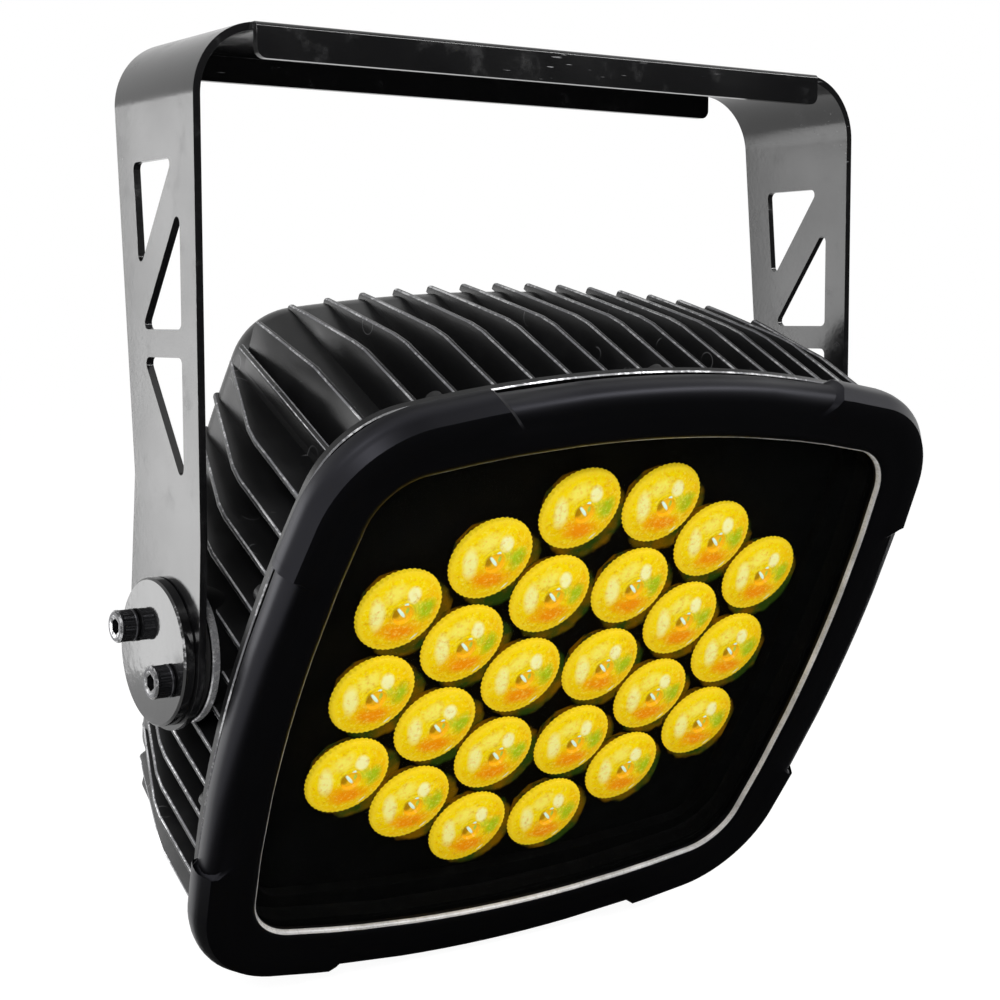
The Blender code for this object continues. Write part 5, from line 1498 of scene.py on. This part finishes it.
def cap_screw_template():
    """A socket head cap screw, its seat at the origin and its head along +Y."""
    top = TILT_HEAD_HEIGHT
    head = TILT_HEAD_RADIUS
    return turned(
        "cap_screw_template",
        [
            (TILT_SCREW_RADIUS, -TILT_SCREW_LENGTH),
            (TILT_SCREW_RADIUS, 0.0),
            (head - 0.0004, 0.0),
            (head, 0.0004),
            (head, 0.0010),
            (head - 0.0002, 0.0014, 0, 0.0002),
            (head - 0.0002, top - 0.0020, 0, 0.0002),
            (head, top - 0.0016),
            (head, top - 0.0008),
            (head - 0.0008, top),
            (TILT_SOCKET_RADIUS + 0.0012, top),
            (TILT_SOCKET_RADIUS, top - 0.0004, 6),
            (TILT_SOCKET_RADIUS, top - TILT_SOCKET_DEPTH, 6),
        ],
        (8, 10),
        72,
    )


def tube(name, route, radius, segments=20):
    """A round bar along a route in one plane of constant height."""
    rings = []
    for i, point in enumerate(route):
        ahead = route[min(i + 1, len(route) - 1)] - route[max(i - 1, 0)]
        along = ahead.normalized()
        side = Vector((along.y, -along.x, 0))
        ring = []
        for p in circle(0.0, radius, segments):
            ring.append(point + side * p.x + Vector((0, 0, p.z)))
        rings.append(ring)
    shape = bmesh.new()
    loft(shape, rings)
    return mesh_of(shape, name)


def bezel_screw_places():
    """Where the ten screws come through the casting's flange, between fins."""
    places = []
    for x in (-6 * FIN_PITCH, 0.0, 6 * FIN_PITCH):
        point = FLANGE.top(math.acos(x / FLANGE.top_bow), -BEZEL_SCREW_INSET)
        places += [(point.x, point.y), (point.x, -point.y)]
    for z in (-3 * FIN_PITCH, 3 * FIN_PITCH):
        point = FLANGE.side(math.asin(z / FLANGE.side_bow), -BEZEL_SCREW_INSET)
        places += [(point.x, point.y), (-point.x, point.y)]
    return places


def cover_screw_places():
    """Where the ten screws sit round the rear cover's edge."""
    places = []
    for x in COVER_SCREW_COLUMNS:
        point = CORE.top(math.acos(x / CORE.top_bow), -COVER_SCREW_INSET)
        places += [(point.x, point.y), (point.x, -point.y)]
    for z in COVER_SCREW_ROWS:
        point = CORE.side(math.asin(z / CORE.side_bow), -COVER_SCREW_INSET)
        places += [(point.x, point.y), (-point.x, point.y)]
    return places


def on_pivot(side, out, along=0.0):
    """A place on the tilt axis, or ALONG from it, and the turn that points +Y outwards."""
    place = Vector((side * out, PIVOT_BACK + along, PIVOT_RISE))
    return place, Vector((0, 0, -side * math.pi / 2))


class WASHPANEL_OT_finishes(bpy.types.Operator):
    """Make the finishes that every piece uses"""

    bl_idname = "wash_panel.finishes"
    bl_label = "Finishes"

    def execute(self, context):
        look = context.scene.wash_panel_paint
        lens = context.scene.wash_panel_lens
        yoke, cast, bezel, bare = (tuple(c) for c in (look.yoke, look.casting, look.bezel, look.bare))
        paint("yoke_paint", yoke, 0.17, bare, 700.0, 0.035)
        paint("disc_gloss", yoke, 0.09, bare, 300.0, 0.03)
        edge_wear_and_highlight("yoke_edge", yoke, bare, look.wear)
        casting("casting", cast, 0.34)
        # The casting's edge finish is 34 times as light as its paint: a painted highlight along the
        # rounded edges, with rubbed patches of bare metal.
        edge_wear_and_highlight("casting_edge_highlight_and_wear", tuple(c * 34 for c in cast), bare, look.wear + 0.06, 0.24, 420.0)
        paint("bezel_paint", bezel, 0.14, bare, 1200.0, 0.035, 0.45)
        # The bezel's edge finish is 30 times as light as its paint: a painted reflection on the side
        # wall, with rubbed patches.
        edge_wear_and_highlight("bezel_side_reflection_and_wear", tuple(c * 30 for c in bezel), bare, look.wear + 0.10, 0.22)
        # A pale grey rim: a painted highlight on the bezel opening's inner rounding.
        metal("bezel_rim_painted_highlight", (0.50, 0.50, 0.51), 0.28, (1, 1, 1), 0.1)
        metal("screw_oxide", (0.035, 0.035, 0.038), 0.32)
        edge_wear_and_highlight("screw_rim", (0.06, 0.06, 0.063), bare, 0.22, 0.28, 400.0)
        metal("zinc", (0.42, 0.42, 0.44), 0.30, (1, 8, 1))
        metal("brushed_case", (0.50, 0.50, 0.52), 0.36, (1, 1, 30))
        metal("board_metal", (0.62, 0.63, 0.62), 0.45, (20, 1, 1), 0.4)
        moulded("rubber", (0.012, 0.012, 0.012), 0.72)
        moulded("button_rubber", (0.020, 0.020, 0.021), 0.62)
        moulded("black_plastic", (0.010, 0.010, 0.011), 0.45)
        moulded("fibre", (0.018, 0.018, 0.018), 0.6)
        # Near black with little shine: the glass gasket's finish, and painted shade on the casting's
        # recess behind the glass.
        moulded("silicone", (0.0010, 0.0010, 0.0010), 0.8, shine=0.08)
        moulded("thermal_sheet", (0.38, 0.40, 0.43), 0.75)
        moulded("sleeve", (0.03, 0.03, 0.032), 0.6)
        circuit("circuit_board", (0.012, 0.06, 0.03), (0.03, 0.12, 0.05))
        pane("front_pane", (0.008, 0.010, 0.009), 0.05)
        moulded("display_pane", (0.004, 0.005, 0.006), 0.08)
        # Lens faces, lens walls and the tray behind them carry painted light: patches, glints, shade
        # and glow.
        lens_face("lens_face", tuple(lens.colour), lens.glow)
        lens_wall("lens_wall")
        lens_tray("lens_tray", (0.0125, -0.0110))
        return {"FINISHED"}


class WASHPANEL_OT_yoke(bpy.types.Operator):
    """Make the bent sheet yoke"""

    bl_idname = "wash_panel.yoke"
    bl_label = "Yoke"

    def execute(self, context):
        mesh = softened(yoke_mesh(), SHEET_EDGE_RADIUS)
        place_piece(
            "yoke", mesh, ("yoke_paint", "yoke_edge"), "yoke", YOKE_PLACE,
            ("yoke_bracket",), shade=False,
        )
        return {"FINISHED"}


class WASHPANEL_OT_pivots(bpy.types.Operator):
    """Make the clamp discs, tilt screws, friction washers and pivot bosses"""

    bl_idname = "wash_panel.pivots"
    bl_label = "Pivots"

    def execute(self, context):
        thick = DISC_OUTER - DISC_INNER
        sides = (-1, 1)
        words = {-1: "left", 1: "right"}
        disc = turned(
            "disc_template",
            [
                (DISC_RADIUS - 0.0003, 0.0),
                (DISC_RADIUS, 0.0003),
                (DISC_RADIUS, thick - DISC_EDGE),
                (DISC_RADIUS - DISC_EDGE, thick),
            ],
            (2,),
            96,
        )
        places = [on_pivot(s, DISC_INNER) for s in sides]
        mesh = repeated("clamp_discs", disc, places, ("disc_gloss", "yoke_edge"))
        nodes = [f"tilt_disc_{words[s]}" for s in sides]
        place_piece("clamp_discs", mesh, (), "head", HEAD_PLACE, nodes)
        ends = (-TILT_SCREW_OFFSET, TILT_SCREW_OFFSET)
        places = [on_pivot(s, DISC_OUTER + GAP, end) for s in sides for end in ends]
        mesh = repeated("tilt_screws", cap_screw_template(), places, ("screw_oxide", "screw_rim"))
        nodes = [f"tilt_screw_{words[s]}_{end}" for s in sides for end in ("front", "back")]
        place_piece("tilt_screws", mesh, (), "head", HEAD_PLACE, nodes)
        inner = HUB_RADIUS + GAP
        shape = bmesh.new()
        section = [(0.0, inner), (0.0, WASHER_RADIUS)]
        section += [(WASHER_THICKNESS, WASHER_RADIUS), (WASHER_THICKNESS, inner)]
        loft(shape, [circle(depth, radius, 96) for depth, radius in section], closed=True)
        washer = mesh_of(shape, "washer_template")
        places = [on_pivot(s, BOSS_FACE + GAP) for s in sides]
        mesh = repeated("friction_washers", washer, places, ("fibre", "fibre"))
        nodes = [f"friction_washer_{words[s]}" for s in sides]
        place_piece("friction_washers", mesh, (), "head", HEAD_PLACE, nodes)
        boss = turned("boss_template", boss_profile(), (2, 3), 96)
        places = [on_pivot(s, 0.0) for s in sides]
        # The bosses' round edges take the casting's edge finish, a painted highlight with rubbed
        # patches.
        mesh = repeated("pivot_bosses", boss, places, ("casting", "casting_edge_highlight_and_wear"))
        place_piece("pivot_bosses", mesh, (), "head", HEAD_PLACE)
        return {"FINISHED"}


class WASHPANEL_OT_heat_sink(bpy.types.Operator):
    """Make the finned casting and the bosses of its bezel screws"""

    bl_idname = "wash_panel.heat_sink"
    bl_label = "Heat Sink"

    def execute(self, context):
        # The casting's second finish paints highlights on its edges; the third paints shade in the
        # recess behind the glass.
        place_piece(
            "casting_shell", shell_mesh(), ("casting", "casting_edge_highlight_and_wear", "silicone"), "head",
            HEAD_PLACE, ("heatsink_body",),
        )
        place_piece("cooling_fins", fins_mesh(), (), "head", HEAD_PLACE)
        radius = sizes().screw_boss
        seat = SCREW_BOSS_HEIGHT
        profile = [(radius, -0.001), (radius, seat - 0.0003)]
        profile += [(radius - 0.0003, seat), (radius * 0.7, seat)]
        boss = turned("screw_boss_template", profile, (1,))
        places = [(Vector((x, FLANGE_BACK, z)), Vector()) for x, z in bezel_screw_places()]
        # The bosses' top edges take the casting's edge finish, a painted highlight with rubbed
        # patches.
        mesh = repeated("screw_bosses", boss, places, ("casting", "casting_edge_highlight_and_wear"))
        place_piece("screw_bosses", mesh, (), "head", HEAD_PLACE)
        places = [(place + Vector((0, seat, 0)), turn) for place, turn in places]
        screw = screw_template(sizes().screw_head)
        mesh = repeated("bezel_screws", screw, places, ("screw_oxide", "screw_rim"))
        place_piece("bezel_screws", mesh, (), "head", HEAD_PLACE)
        return {"FINISHED"}


class WASHPANEL_OT_bezel(bpy.types.Operator):
    """Make the bowed front frame with its corner bumpers"""

    bl_idname = "wash_panel.bezel"
    bl_label = "Bezel"

    def execute(self, context):
        # The second finish paints a reflection on the side wall, the third a highlight round the
        # opening.
        place_piece(
            "front_frame", bezel_mesh(), ("bezel_paint", "bezel_side_reflection_and_wear", "bezel_rim_painted_highlight"), "head",
            HEAD_PLACE, ("front_bezel",),
        )
        return {"FINISHED"}


class WASHPANEL_OT_lenses(bpy.types.Operator):
    """Make the 24 lenses"""

    bl_idname = "wash_panel.lenses"
    bl_label = "Lenses"

    def execute(self, context):
        places = [(place, Vector()) for place in lens_places()]
        mesh = repeated("lenses", lens_template(), places, ("lens_face", "lens_wall"))
        nodes = [f"lens_{number:02d}" for number in range(1, len(places) + 1)]
        place_piece("lenses", mesh, (), "head", HEAD_PLACE, nodes)
        return {"FINISHED"}


class WASHPANEL_OT_rear(bpy.types.Operator):
    """Make the rear cover's screws, buttons, sockets, vent and safety eye"""

    bl_idname = "wash_panel.rear"
    bl_label = "Rear Panel"

    def execute(self, context):
        screw = screw_template(sizes().screw_head)
        places = [(Vector((x, COVER_BACK, z)), Vector()) for x, z in cover_screw_places()]
        mesh = repeated("cover_screws", screw, places, ("screw_oxide", "screw_rim"))
        place_piece("cover_screws", mesh, (), "head", HEAD_PLACE)
        self.make_buttons()
        self.make_sockets()
        self.make_vent_and_eye()
        return {"FINISHED"}

    def make_buttons(self):
        behind = COVER_FRONT - GAP - COVER_BACK
        profile = [
            (BUTTON_RADIUS * 0.5, behind - BUTTON_STEM),
            (BUTTON_RADIUS * 0.5, behind - BUTTON_FLANGE),
            (BUTTON_FLANGE_RADIUS, behind - BUTTON_FLANGE),
            (BUTTON_FLANGE_RADIUS, behind),
            (BUTTON_RADIUS, behind),
            (BUTTON_RADIUS, BUTTON_PROUD - 0.0009),
            (BUTTON_RADIUS - 0.0003, BUTTON_PROUD - 0.0004),
            (BUTTON_RADIUS - 0.0009, BUTTON_PROUD - 0.0001),
            (BUTTON_RADIUS * 0.45, BUTTON_PROUD - 0.0003),
        ]
        for k, word in enumerate(("menu", "down", "up", "enter")):
            spot = (BUTTON_PITCH * (k - 1.5), COVER_BACK, BUTTON_HEIGHT)
            mesh = turned(f"{word}_key", profile, (), 48)
            place_piece(
                f"{word}_key", mesh, ("button_rubber",), f"{word}_button",
                HEAD_PLACE @ Matrix.Translation(spot), (f"button_{word}",),
            )

    def make_sockets(self):
        profile = [
            (SOCKET_RADIUS, -SOCKET_BEHIND),
            (SOCKET_RADIUS, GAP),
            (SOCKET_FLANGE_RADIUS, GAP),
            (SOCKET_FLANGE_RADIUS, GAP + SOCKET_FLANGE - 0.0006),
            (SOCKET_FLANGE_RADIUS - 0.0006, GAP + SOCKET_FLANGE),
            (SOCKET_RADIUS, GAP + SOCKET_FLANGE),
            (SOCKET_RADIUS, SOCKET_PROUD - 0.0004),
            (SOCKET_RADIUS - 0.0004, SOCKET_PROUD),
            (SOCKET_BORE + 0.0003, SOCKET_PROUD),
            (SOCKET_BORE, SOCKET_PROUD - 0.0003),
            (SOCKET_BORE, SOCKET_FLOOR),
        ]
        centres = [Vector((SOCKET_PITCH * (k - 1.5), COVER_BACK, SOCKET_HEIGHT)) for k in range(4)]
        body = turned("socket_template", profile, (), 64)
        places = [(centre, Vector()) for centre in centres]
        mesh = repeated("rear_sockets", body, places, ("black_plastic", "black_plastic"))
        nodes = ("data_out_socket", "data_in_socket", "power_out_socket", "power_in_socket")
        place_piece("rear_sockets", mesh, (), "head", HEAD_PLACE, nodes)
        pin = turned("pin_template", [(0.0008, 0.0), (0.0008, 0.0065), (0.0004, 0.0072)], (), 16)
        foot = Vector((0, SOCKET_FLOOR - 0.0005, 0))
        places = []
        for centre, count in zip(centres, SOCKET_PINS):
            for k in range(count):
                angle = math.tau * (k + 0.25) / count
                out = Vector((math.cos(angle), 0, math.sin(angle))) * SOCKET_PIN_CIRCLE
                places.append((centre + foot + out, Vector()))
        mesh = repeated("socket_pins", pin, places, ("zinc", "zinc"))
        place_piece("socket_pins", mesh, (), "head", HEAD_PLACE)

    def make_vent_and_eye(self):
        profile = [
            (VENT_RADIUS * 0.6, -0.006),
            (VENT_RADIUS * 0.6, GAP),
            (VENT_RADIUS, GAP, 6),
            (VENT_RADIUS, 0.0032, 6),
            (VENT_RADIUS * 0.84, 0.0038),
            (VENT_RADIUS * 0.80, 0.0045),
        ]
        place = HEAD_PLACE @ Matrix.Translation((VENT_PLACE[0], COVER_BACK, VENT_PLACE[1]))
        place_piece(
            "vent_cap", turned("vent_cap", profile), ("black_plastic",), "head",
            place, ("vent_plug",),
        )
        foot = COVER_FRONT - EYE_ROOT
        top = COVER_BACK + EYE_RISE
        route = [(-EYE_RADIUS, foot), (-EYE_RADIUS, COVER_BACK)]
        for i in range(25):
            angle = math.pi * (1 - i / 24)
            route.append((EYE_RADIUS * math.cos(angle), top + EYE_RADIUS * math.sin(angle)))
        route += [(EYE_RADIUS, COVER_BACK), (EYE_RADIUS, foot)]
        mesh = tube("safety_loop", [Vector((x, y, EYE_HEIGHT)) for x, y in route], EYE_WIRE)
        place_piece("safety_loop", mesh, ("zinc",), "head", HEAD_PLACE, ("safety_eye",))


KEPT_NODES = {
    "front_glass": "front_pane",
    "glass_gasket": "silicone",
    "bezel_seal": "rubber",
    "lens_plate": "lens_tray",
    "led_board": "board_metal",
    "thermal_pad": "thermal_sheet",
    "power_supply": "brushed_case",
    "driver_board": "circuit_board",
    "control_board": "circuit_board",
    "supply_loom": "sleeve",
    "driver_loom": "sleeve",
    "led_loom": "sleeve",
    "rear_cover": "casting",
    "rear_cover_seal": "rubber",
    "display_window": "display_pane",
}


class WASHPANEL_OT_kept(bpy.types.Operator):
    """Give the pieces that keep their plain shape their finishes"""

    bl_idname = "wash_panel.kept"
    bl_label = "Kept Pieces"

    def execute(self, context):
        for node, finish in KEPT_NODES.items():
            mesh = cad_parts[node].data
            mesh.materials.clear()
            mesh.materials.append(finish_named(finish))
        return {"FINISHED"}


CAMERA_PLACE = Vector((-0.4859, -0.6848, -0.1098))
CAMERA_AHEAD = Vector((0.5711, 0.8156, -0.0939))
CAMERA_UP = Vector((0.0555, 0.0757, 0.9956))
CAMERA_LENS = 69.4
CAMERA_SENSOR = 36.0
LAMP_MIDDLE = Vector((0, 0, -0.22))
FLOOR_DROP = 0.004
FLOOR_REACH = 8.0
FLOOR_SEEN = (0.30, 0.30, 0.30, 1.0)
FLOOR_WHITE = 0.91
# Each softbox: its name, place, width and height, and brightness.
SOFTBOXES = (
    ("back_left", (-0.62, 0.60, -0.156), (0.40, 0.478), 3.4),
    ("beside_camera", (-0.95, -1.30, 0.42), (0.36, 0.30), 24.0),
    ("front_right_high", (1.05, -1.30, 0.70), (1.10, 0.14), 24.0),
    ("upper_left", (-1.0, -0.35, 0.90), (0.50, 0.50), 4.0),
)
CARD_FOOT = 0.002
CARD_BACK = -2.2
CARDS = {
    "card_behind_camera": (
        (-3.5, CARD_BACK, CARD_FOOT),
        (3.5, CARD_BACK, CARD_FOOT),
        (3.5, CARD_BACK, 3.5),
        (-3.5, CARD_BACK, 3.5),
    ),
    "card_on_floor": (
        (-0.25, CARD_BACK, CARD_FOOT),
        (2.4, CARD_BACK, CARD_FOOT),
        (2.4, 0.05, CARD_FOOT),
        (-0.25, 0.05, CARD_FOOT),
    ),
}


def seen_rays(tree):
    """1 for the rays that show the background: from the camera, off metal and through glass."""
    rays = tree.nodes.new("ShaderNodeLightPath")
    seen = rays.outputs["Is Camera Ray"]
    for name in ("Is Glossy Ray", "Is Transmission Ray"):
        either = tree.nodes.new("ShaderNodeMath")
        either.operation = "MAXIMUM"
        tree.links.new(seen, either.inputs[0])
        tree.links.new(rays.outputs[name], either.inputs[1])
        seen = either.outputs[0]
    return seen


class WASHPANEL_OT_stage(bpy.types.Operator):
    """Make the camera, the soft lights, the floor and the backdrop"""

    bl_idname = "wash_panel.stage"
    bl_label = "Stage"

    def execute(self, context):
        look = context.scene.wash_panel_stage
        self.make_camera(context.scene)
        self.make_floor(look)
        self.make_world(context.scene)
        for name, place, size, glow in SOFTBOXES:
            self.make_light(name, place, size, glow * look.softbox)
        return {"FINISHED"}

    def make_camera(self, scene):
        data = bpy.data.cameras.new("camera")
        data.lens = CAMERA_LENS
        data.sensor_width = CAMERA_SENSOR
        data.sensor_fit = "HORIZONTAL"
        data.clip_start = 0.01
        camera = bpy.data.objects.new("camera", data)
        scene.collection.objects.link(camera)
        ahead = CAMERA_AHEAD.normalized()
        right = ahead.cross(CAMERA_UP).normalized()
        up = right.cross(ahead)
        turn = Matrix((right, up, -ahead)).transposed().to_4x4()
        camera.matrix_world = Matrix.Translation(CAMERA_PLACE) @ turn
        scene.camera = camera

    def make_floor(self, look):
        """A white floor that keeps the shadow, and two black cards that only reflections see."""
        level = CAD_BOX[0].z - FLOOR_DROP
        finish = Finish("floor_paper")
        tree = finish.tree
        finish.set(Base_Color=tuple(look.floor), Specular_IOR_Level=0.0)
        finish.set(Roughness=finish.span(finish.noise(30.0), 0.3, 0.7, 0.85, 0.95))
        paper = finish.node("ShaderNodeBsdfDiffuse")
        paper.inputs["Color"].default_value = FLOOR_SEEN
        white = finish.node("ShaderNodeEmission")
        white.inputs["Strength"].default_value = FLOOR_WHITE
        both = finish.node("ShaderNodeAddShader")
        mixed = finish.node("ShaderNodeMixShader")
        tree.links.new(paper.outputs[0], both.inputs[0])
        tree.links.new(white.outputs[0], both.inputs[1])
        tree.links.new(seen_rays(tree), mixed.inputs[0])
        tree.links.new(finish.shader.outputs[0], mixed.inputs[1])
        tree.links.new(both.outputs[0], mixed.inputs[2])
        tree.links.new(mixed.outputs[0], tree.nodes["Material Output"].inputs["Surface"])
        turns = ((-1, -1), (1, -1), (1, 1), (-1, 1))
        corners = [(x * FLOOR_REACH, y * FLOOR_REACH, level) for x, y in turns]
        self.make_sheet("floor", corners, "floor_paper")
        moulded("black_card", (0.002, 0.002, 0.002), 0.9)
        for name, corners in CARDS.items():
            card = self.make_sheet(name, [(x, y, level + z) for x, y, z in corners], "black_card")
            card.visible_camera = False
            card.visible_diffuse = False
            card.visible_transmission = False
            card.visible_shadow = False

    def make_sheet(self, name, corners, finish):
        mesh = bpy.data.meshes.new(name)
        mesh.from_pydata(corners, [], [(0, 1, 2, 3)])
        mesh.materials.append(finish_named(finish))
        sheet = loose(name, mesh)
        return sheet

    def make_world(self, scene):
        world = bpy.data.worlds.new("studio")
        world.use_nodes = True
        tree = world.node_tree
        room = tree.nodes["Background"]
        room.inputs["Color"].default_value = (1, 1, 1, 1)
        room.inputs["Strength"].default_value = scene.wash_panel_stage.fill
        seen = tree.nodes.new("ShaderNodeBackground")
        seen.inputs["Color"].default_value = (1, 1, 1, 1)
        seen.inputs["Strength"].default_value = 1.0
        mixed = tree.nodes.new("ShaderNodeMixShader")
        tree.links.new(seen_rays(tree), mixed.inputs[0])
        tree.links.new(room.outputs[0], mixed.inputs[1])
        tree.links.new(seen.outputs[0], mixed.inputs[2])
        tree.links.new(mixed.outputs[0], tree.nodes["World Output"].inputs["Surface"])
        scene.world = world
        scene.view_settings.view_transform = "Standard"

    def make_light(self, name, place, size, glow):
        """A softbox whose GLOW is its brightness, so that its size doesn't change it."""
        data = bpy.data.lights.new(name, "AREA")
        data.shape = "RECTANGLE"
        data.size, data.size_y = size
        data.energy = glow * math.pi * size[0] * size[1]
        light = bpy.data.objects.new(name, data)
        bpy.context.scene.collection.objects.link(light)
        light.location = place
        light.visible_camera = False
        aim = LAMP_MIDDLE - Vector(place)
        light.rotation_mode = "QUATERNION"
        light.rotation_quaternion = aim.to_track_quat("-Z", "Y")


OPERATORS = (
    WASHPANEL_OT_stage,
    WASHPANEL_OT_finishes,
    WASHPANEL_OT_yoke,
    WASHPANEL_OT_pivots,
    WASHPANEL_OT_heat_sink,
    WASHPANEL_OT_bezel,
    WASHPANEL_OT_lenses,
    WASHPANEL_OT_rear,
    WASHPANEL_OT_kept,
)


SHOWN_SETTINGS = {
    "wash_panel_paint": ("yoke", "casting", "bezel", "bare", "wear"),
    "wash_panel_sizes": ("fin_thickness", "fin_knob", "screw_head", "screw_boss"),
    "wash_panel_lens": ("radius", "tooth", "colour", "glow"),
    "wash_panel_stage": ("floor", "fill", "softbox"),
}


class WASHPANEL_PT_sidebar(bpy.types.Panel):
    """Buttons for each group of pieces"""

    bl_idname = "WASHPANEL_PT_sidebar"
    bl_label = "Wash Panel"
    bl_space_type = "VIEW_3D"
    bl_region_type = "UI"
    bl_category = "Wash Panel"

    def draw(self, context):
        column = self.layout.column()
        for group, names in SHOWN_SETTINGS.items():
            for name in names:
                column.prop(getattr(context.scene, group), name)
        for operator in OPERATORS:
            column.operator(operator.bl_idname)


GROUPS = {
    "wash_panel_paint": PaintLook,
    "wash_panel_sizes": HeadSizes,
    "wash_panel_lens": LensLook,
    "wash_panel_stage": StageLook,
}


def register():
    for item in (*GROUPS.values(), *OPERATORS, WASHPANEL_PT_sidebar):
        bpy.utils.register_class(item)
    for name, group in GROUPS.items():
        setattr(bpy.types.Scene, name, bpy.props.PointerProperty(type=group))


def unregister():
    for name in GROUPS:
        delattr(bpy.types.Scene, name)
    for item in reversed((*GROUPS.values(), *OPERATORS, WASHPANEL_PT_sidebar)):
        bpy.utils.unregister_class(item)


def main():
    """Registers the add-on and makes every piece."""
    register()
    bpy.ops.wash_panel.stage()
    bpy.ops.wash_panel.finishes()
    bpy.ops.wash_panel.yoke()
    bpy.ops.wash_panel.pivots()
    bpy.ops.wash_panel.heat_sink()
    bpy.ops.wash_panel.bezel()
    bpy.ops.wash_panel.lenses()
    bpy.ops.wash_panel.rear()
    bpy.ops.wash_panel.kept()
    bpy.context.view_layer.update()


if __name__ == "__main__":
    main()
